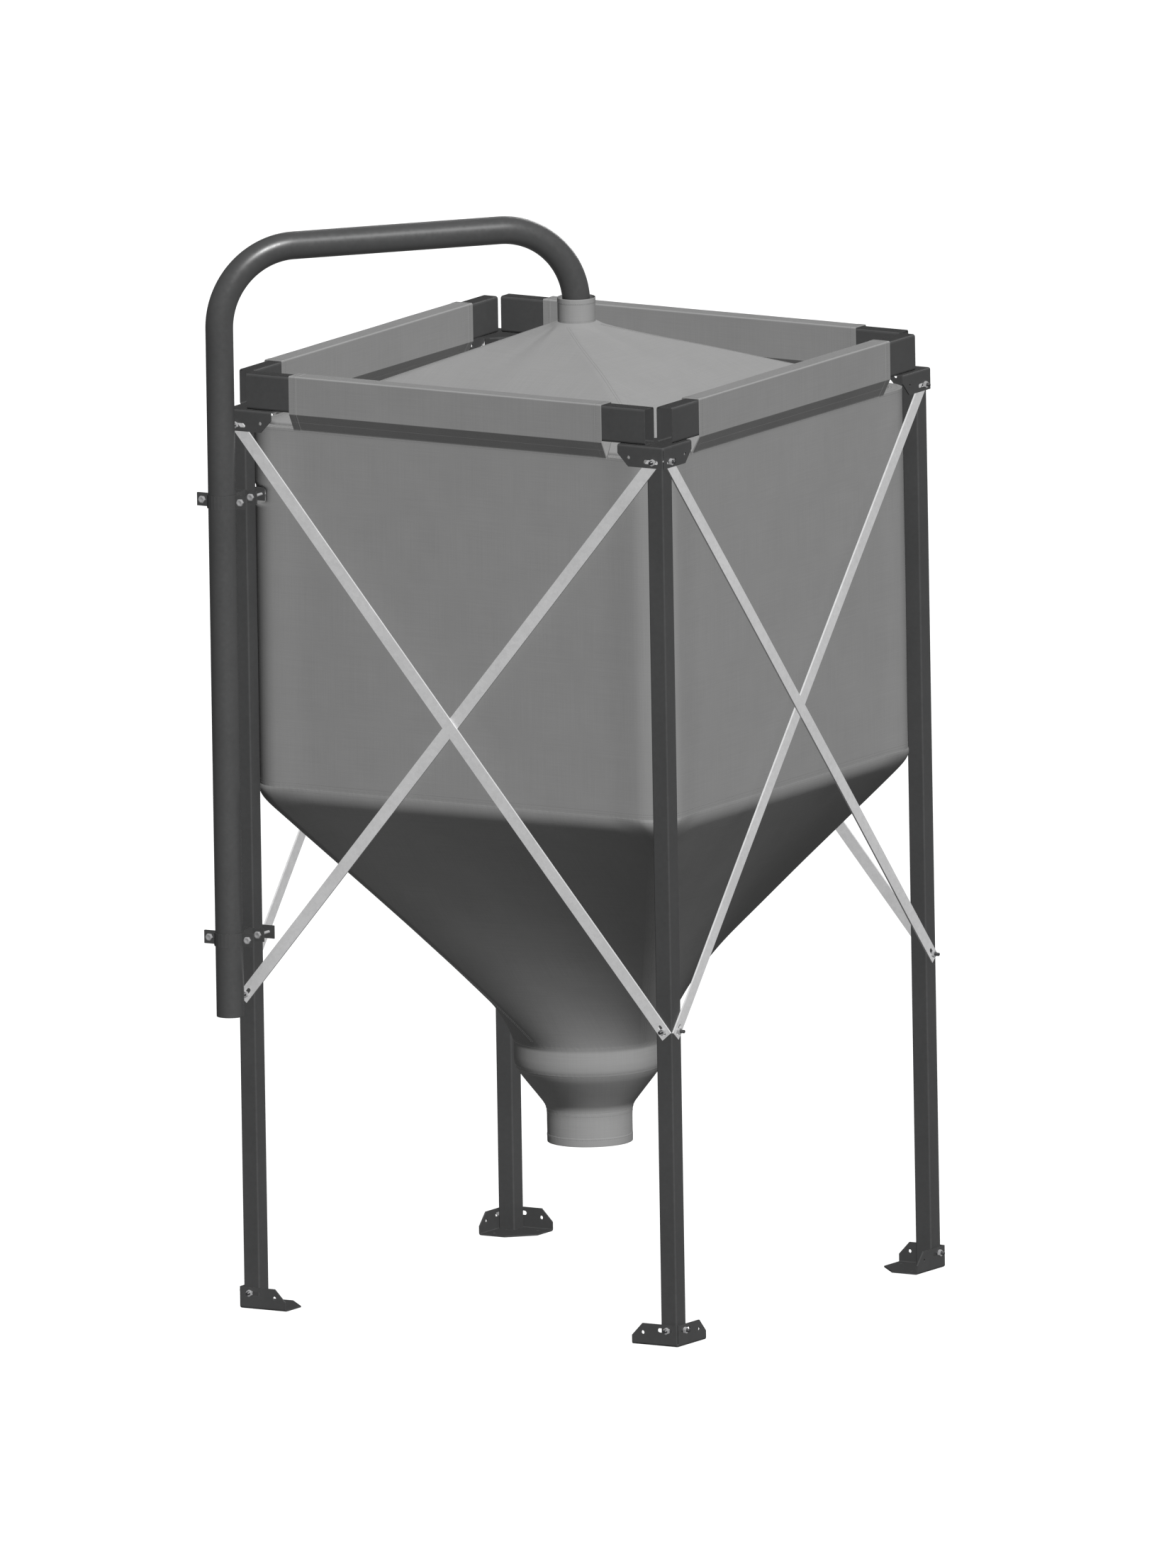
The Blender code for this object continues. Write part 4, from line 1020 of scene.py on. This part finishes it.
for k, (side, deg) in enumerate(SIDES4):
    loose = wave(out3 * (1.0, 1.0, 1.0), 7.0, 31.0 + 5 * k)
    shift = 0.0005 * loose * flap_mask[:, None] * smooth(
        (END - abs(xs)) / 0.06)[None]
    o = out3 + sleeve_n * (hem_step[None] + shift)[..., None]
    i_ = in3 + sleeve_n * shift[..., None]
    nrm = sleeve_n
    o_t, i_t, n_t = turn_z(o, deg), turn_z(i_, deg), turn_z(nrm, deg)
    name = "sleeve_cloth_" + side
    mesh = cloth_mesh(name, o_t, i_t, np.minimum(sleeve_seam, hem_dist),
                      False, sleeve_uv, wrap_rows=True)
    obj = settle(name, mesh, [sleeve_mat], 40, ["sleeve_" + side])
    # two rows along the bottom seam of each flap and one round each hem
    paths = []
    for row in (3, 5):
        paths.append((o_t[row], n_t[row]))
        paths.append((o_t[-1 - row], n_t[-1 - row]))
    for sgn in (-1, 1):
        col = 4 if sgn < 0 else len(xs) - 5
        paths.append((o_t[3:-3, col], n_t[3:-3, col]))
    thread = stitching("stitches_sleeve_" + side, paths)

# ------------------------------------------------------------ bag's sewing
stitching("stitches_wall", [at_height(wall, n_wall[:len(wall)], z)
                            for z in (BAG_Z0 + 0.007, BAG_Z0 + 0.014,
                                      CREST_Z - 0.007)])
rim = np.array(ledge_rows)
up = np.zeros_like(rim[0]); up[:, 2] = 1.0
ledge_path = lift3(section(BAG_HALF - 0.008, BAG_R - 0.008), CREST_Z)
ledge_in = lift3(section(BAG_HALF - 0.025, BAG_R - 0.025), CREST_Z)
hip_paths = []
for q in range(4):
    for s in (-0.0035, 0.0035):
        hip_paths.append(beside(roof, n_roof, q * PER, s, first, len(roof) - 3))
stitching("stitches_roof", hip_paths + [
    (np.concatenate([p, p[:1]]), np.concatenate([up, up[:1]]))
    for p in (ledge_path, ledge_in)])
stitching("stitches_collar", [at_height(collar, n_collar, z)
                              for z in (COLLAR_Z0 + 0.005,
                                        COLLAR_Z1 - 0.0125)])
hop_paths = []
for q in range(4):
    for s in (-0.0035, 0.0035):
        hop_paths.append(beside(hop, n_hopper, q * PER, s, 2, len(hop) - 2))
stitching("stitches_hopper", hop_paths + [at_height(hop, n_hopper,
                                                    BAG_Z0 - 0.009)])
stitching("stitches_outlet", [
    at_height(band, n_band, RING_Z1 - 0.007),
    at_height(band, n_band, RING_Z0 + 0.006),
    at_height(cone, n_cone, NECK_Z1 + 0.006),
    at_height(cone, n_cone, RING_Z0 - 0.006),
    at_height(neck, n_neck, NECK_Z1 - 0.006),
    at_height(neck, n_neck, NECK_Z0 + HEM - 0.004)])


# --------------------------------------------------------------- fill pipe
PIPE_RAD, PIPE_WALL, PIPE_TOP, PIPE_BEND = 0.0382, 0.003, 2.948, 0.2165
PIPE_LOW, PIPE_END, PIPE_N = 0.825, 2.712, 72
run_len = math.hypot(PIPE_X, PIPE_Y)
pipe_dir = np.array([-PIPE_X / run_len, -PIPE_Y / run_len, 0.0])
pipe_start = np.array([PIPE_X, PIPE_Y, 0.0])
pipe_up = np.array([0.0, 0.0, 1.0])
pipe_side = np.cross(pipe_dir, pipe_up)


def pipe_piece(name, node, stations, lip_low=False, lip_high=False):
    """Hollow pipe through (point, direction) stations, with eased ends."""
    rings_out, rings_in = [], []
    stations = [(np.array(p, float), np.array(d, float)) for p, d in stations]
    extra = []
    for k, (p, d) in enumerate(stations):
        if k == 0 and lip_low:
            extra += [(p, d, 0.0007), (p + d * 0.0003, d, 0.0002),
                      (p + d * 0.0008, d, 0.0), (p + d * 0.0030, d, 0.0)]
        elif k == len(stations) - 1 and lip_high:
            extra += [(p - d * 0.0030, d, 0.0), (p - d * 0.0008, d, 0.0),
                      (p - d * 0.0003, d, 0.0002), (p, d, 0.0007)]
        else:
            extra.append((p, d, 0.0))
    ang = 2 * math.pi * np.arange(PIPE_N) / PIPE_N
    for p, d, ease in extra:
        lift = np.cross(d, pipe_side)
        around = (np.cos(ang)[:, None] * pipe_side
                  + np.sin(ang)[:, None] * lift)
        rings_out.append(p + (PIPE_RAD - ease) * around)
        rings_in.append(p + (PIPE_RAD - PIPE_WALL + ease * 0.5) * around)
    out, inn = np.array(rings_out), np.array(rings_in)
    mesh = cloth_mesh(name, out[:, ::-1], inn[:, ::-1], 1.0, True,
                      gore_uv(out[:, ::-1]))
    return settle(name, mesh, [pipe_mat], 40, [node])


low_bend = PIPE_TOP - PIPE_BEND
pipe_piece("pipe_riser", "fill_pipe_riser",
           [(pipe_start + pipe_up * z, pipe_up)
            for z in (PIPE_LOW, 1.2, 1.6, 2.0, 2.4, low_bend)], lip_low=True)
bend = []
for k in range(41):
    a = math.pi / 2 * k / 40
    bend.append((pipe_start + pipe_up * (low_bend + PIPE_BEND * math.sin(a))
                 + pipe_dir * PIPE_BEND * (1 - math.cos(a)),
                 pipe_up * math.cos(a) + pipe_dir * math.sin(a)))
pipe_piece("pipe_outer_bend", "fill_pipe_outer_bend", bend)
pipe_piece("pipe_run", "fill_pipe_run",
           [(pipe_start + pipe_up * PIPE_TOP + pipe_dir * d, pipe_dir)
            for d in np.linspace(PIPE_BEND, run_len - PIPE_BEND, 4)])
bend = []
for k in range(41):
    a = math.pi / 2 * k / 40
    bend.append((pipe_up * (low_bend + PIPE_BEND * math.cos(a))
                 - pipe_dir * PIPE_BEND * (1 - math.sin(a)),
                 pipe_dir * math.cos(a) - pipe_up * math.sin(a)))
bend.append((pipe_up * PIPE_END, -pipe_up))
pipe_piece("pipe_inner_bend", "fill_pipe_inner_bend", bend, lip_high=True)

# ----------------------------------------------------------------- fixings
def polar(ring_fn, n=36):
    """Closed rings of points to faces; ring_fn gives (r, z) at an angle."""
    rings = []
    for ring in ring_fn:
        rings.append([(ring(2 * math.pi * k / n)) for k in range(n)])
    verts = []
    for ring in rings:
        for k, (r, z) in enumerate(ring):
            ang = 2 * math.pi * k / n
            verts.append((r * math.cos(ang), r * math.sin(ang), z))
    faces = []
    for i in range(len(rings) - 1):
        for k in range(n):
            k2 = (k + 1) % n
            faces.append((i * n + k, i * n + k2, (i + 1) * n + k2,
                          (i + 1) * n + k))
    return verts, faces, n


def hexagon(af, ang):
    a = (ang + math.radians(30)) % math.radians(60) - math.radians(30)
    return af / 2 / math.cos(a)


def hex_body(af, height, bore=None, face_ring=0.93, both=True):
    """Chamfered hexagon from z = 0 to height; a head when bore is None."""
    r0 = af / 2 * face_ring
    tan30 = math.tan(math.radians(30))

    def low_edge(ang):
        r = hexagon(af, ang)
        return (r, max(0.0, r - r0) * tan30 if both else 0.0)

    def high_edge(ang):
        r = hexagon(af, ang)
        return (r, height - max(0.0, r - r0) * tan30)
    start = bore if bore else 0.0
    rings = [lambda a: (max(start, 0.0001), 0.0), lambda a: (r0, 0.0),
             low_edge, high_edge, lambda a: (r0, height)]
    if bore:
        rings += [lambda a: (bore + 0.0008, height),
                  lambda a: (bore, height - 0.0008), lambda a: (bore, 0.0)]
    else:
        rings += [lambda a: (r0 * 0.60, height),
                  lambda a: (r0 * 0.54, height - 0.00025),
                  lambda a: (0.0001, height - 0.00025)]
    verts, faces, n = polar(rings)
    return verts, faces


def thread_end(r, z0, z1, pitch=0.0015):
    """Threaded bolt end with a chamfered tip."""
    n = 24
    count = int((z1 - z0) / 0.0003)
    rings = []
    for k in range(count + 1):
        z = z0 + (z1 - z0) * k / count

        def ring(ang, z=z):
            phase = (z / pitch - ang / (2 * math.pi)) % 1.0
            cut = abs(2 * phase - 1)
            depth = 0.00078 * min(1.0, max(0.0, (cut - 0.12) / 0.76))
            tip = max(0.0, (z - (z1 - 0.0010)) * 0.8)
            return (min(r - depth, r - tip), z)
        rings.append(ring)
    rings += [lambda a: (0.0001, z1)]
    verts, faces, _ = polar(rings, n)
    return verts, faces


def disc_ring(r_in, r_out, z0, z1):
    """Flat washer."""
    b = 0.0003
    rings = [lambda a: (r_in, z0), lambda a: (r_out - b, z0),
             lambda a: (r_out, z0 + b), lambda a: (r_out, z1 - b),
             lambda a: (r_out - b, z1), lambda a: (r_in, z1),
             lambda a: (r_in, z0)]
    verts, faces, _ = polar(rings)
    return verts, faces


def rod(r, z0, z1):
    rings = [lambda a: (0.0001, z0), lambda a: (r, z0), lambda a: (r, z1),
             lambda a: (0.0001, z1)]
    verts, faces, _ = polar(rings, 24)
    return verts, faces


class Fixings:
    """Collects bolts and nuts of one place into one piece."""

    def __init__(self, name):
        self.name, self.verts, self.faces, self.look = name, [], [], []

    def put(self, part, spot, axis, look, spin=0.0):
        verts, faces = part
        z = Vector(axis).normalized()
        x = Vector((0, 0, 1)) if abs(z.z) < 0.5 else Vector((1, 0, 0))
        y = z.cross(x)
        m = Matrix((x, y, z)).transposed() @ Matrix.Rotation(spin, 3, "Z")
        base = len(self.verts)
        for v in verts:
            self.verts.append(tuple(m @ Vector(v) + Vector(spot)))
        for f in faces:
            self.faces.append(tuple(base + k for k in f))
            self.look.append(look)

    def make(self):
        mesh = mesh_of(self.name, self.verts, self.faces, self.look)
        mesh.validate()
        return settle(self.name, mesh, [bolt_mat, black_mat, shank_mat],
                      32)


# hexagon() has a flat face in the direction of its +X axis (which is up here),
# so a turn of 30 degrees puts a corner uppermost
UP_CORNER = math.radians(30)
NUT = hex_body(0.017, 0.0080, bore=0.0050)
for corner, sx, sy in CORNERS:
    for place, z in (("top", 2.4530), ("foot", 0.0435)):
        group = Fixings("bolts_%s_%s" % (place, corner))
        for k, (spot, axis) in enumerate((
                ((sx * FLANGE_OUT, sy * HALF, z), (sx, 0, 0)),
                ((sx * HALF, sy * FLANGE_OUT, z), (0, sy, 0)))):
            spin = UP_CORNER + math.radians(7 * ((k * 5 + sx + 2 * sy) % 3 - 1))
            group.put(NUT, spot, axis, 0, spin)
            group.put(thread_end(0.00485, -0.0085, 0.0167), spot, axis, 1)
        group.make()
    group = Fixings("bolts_brace_" + corner)
    for k, (spot, axis) in enumerate((
            ((sx * BRACE_OUT, sy * HALF, 0.873), (sx, 0, 0)),
            ((sx * HALF, sy * BRACE_OUT, 0.873), (0, sy, 0)))):
        spin = UP_CORNER + math.radians(9 * ((k * 2 + sx - sy) % 3 - 1))
        group.put(NUT, spot, axis, 0, spin)
        group.put(thread_end(0.00485, -0.0050, 0.0205), spot, axis, 1)
    group.make()

HEAD = hex_body(0.0180, 0.0070, bore=None, both=False)
SMALL_NUT = hex_body(0.0160, 0.0068, bore=0.0044)
WASHER = disc_ring(0.0046, 0.0092, 0.0, 0.0012)
for label, zc in zip(("lower", "upper"), CLAMP_Z):
    group = Fixings("bolts_clamp_" + label)
    for d in (-1, 1):
        # through the two ears, beside the pipe
        x, y = PIPE_X + d * 0.061, PIPE_Y - 0.00315
        group.put(HEAD, (x, y, zc), (0, -1, 0), 0, math.radians(3 * d))
        group.put(rod(0.0042, -0.0030, 0.0135), (x, y + 0.0029, zc), (0, 1, 0),
                  2)
        group.put(SMALL_NUT, (x, PIPE_Y + 0.00315, zc), (0, 1, 0), 0,
                  math.radians(11))
        group.put(thread_end(0.0043, 0.0050, 0.0118),
                  (x, PIPE_Y + 0.00315, zc), (0, 1, 0), 1)
        # through front plate and back plate, beside the leg
        x, y = PIPE_X + d * 0.042, -FACE - 0.0003 - 0.004
        group.put(HEAD, (x, y, zc), (0, -1, 0), 0, math.radians(4 - 3 * d))
        group.put(rod(0.0043, 0.0, 0.060), (x, y + 0.001, zc), (0, 1, 0), 2)
        tail = 0.0068 if label == "upper" else 0.0125
        y2 = -0.6425 + 0.0003 + 0.004
        group.put(SMALL_NUT, (x, y2, zc), (0, 1, 0), 0, math.radians(8 * d))
        group.put(thread_end(0.0043, 0.0, tail + 0.0012), (x, y2, zc),
                  (0, 1, 0), 2)
    group.make()

# ------------------------------------------------------- floor and lighting
world = bpy.data.worlds.new("studio")
bpy.context.scene.world = world
world.use_nodes = True
wn = Net(world.node_tree)
w_out = wn.node("ShaderNodeOutputWorld")
glow = wn.node("ShaderNodeBackground", Color=(1, 1, 1, 1), Strength=0.18)
white = wn.node("ShaderNodeBackground", Color=(1, 1, 1, 1), Strength=1.0)
path = wn.node("ShaderNodeLightPath")
pick = wn.node("ShaderNodeMixShader")
wn.feed(pick.inputs[0], path.outputs["Is Camera Ray"])
wn.tree.links.new(glow.outputs[0], pick.inputs[1])
wn.tree.links.new(white.outputs[0], pick.inputs[2])
wn.tree.links.new(pick.outputs[0], w_out.inputs["Surface"])


def sun(name, towards, strength, angle, shadow):
    data = bpy.data.lights.new(name, "SUN")
    data.energy = strength
    data.angle = math.radians(angle)
    data.use_shadow = shadow
    lamp = bpy.data.objects.new(name, data)
    lamp.rotation_euler = Vector(towards).to_track_quat("Z", "Y").to_euler()
    lamp.location = Vector(towards) * 8
    bpy.context.scene.collection.objects.link(lamp)
    return lamp


sun("key", (0.543, -0.478, 0.690), 4.8, 12, False)
sun("fill", (-0.25, 0.90, 0.25), 1.1, 30, False)

disc = [(45 * math.cos(2 * math.pi * k / 96), 45 * math.sin(
    2 * math.pi * k / 96), -0.0004) for k in range(96)]
floor_mesh = mesh_of("floor", disc, [tuple(range(96))])
floor = bpy.data.objects.new("floor", floor_mesh)
bpy.context.scene.collection.objects.link(floor)
floor_mat, fn, f_bsdf = new_material("studio_floor")
f_noise = fn.noise(fn.node("ShaderNodeTexCoord").outputs["Object"], 1.2, 3.0)
fn.feed(f_bsdf.inputs["Base Color"],
        fn.tint((0.90, 0.90, 0.90), fn.span(f_noise, 0.995, 1.005, 0.3, 0.7)))
f_bsdf.inputs["Roughness"].default_value = 0.9
f_bsdf.inputs["Specular IOR Level"].default_value = 0.1
clear = fn.node("ShaderNodeBsdfTransparent")
facing = fn.node("ShaderNodeNewGeometry")
f_mix = fn.node("ShaderNodeMixShader")
fn.feed(f_mix.inputs[0], facing.outputs["Backfacing"])
fn.tree.links.new(f_bsdf.outputs[0], f_mix.inputs[1])
fn.tree.links.new(clear.outputs[0], f_mix.inputs[2])
f_out = [n for n in fn.tree.nodes if n.type == "OUTPUT_MATERIAL"][0]
fn.tree.links.new(f_mix.outputs[0], f_out.inputs["Surface"])
floor_mesh.materials.append(floor_mat)
floor.visible_diffuse = False
floor.visible_glossy = False
floor.visible_shadow = False

bpy.context.view_layer.update()
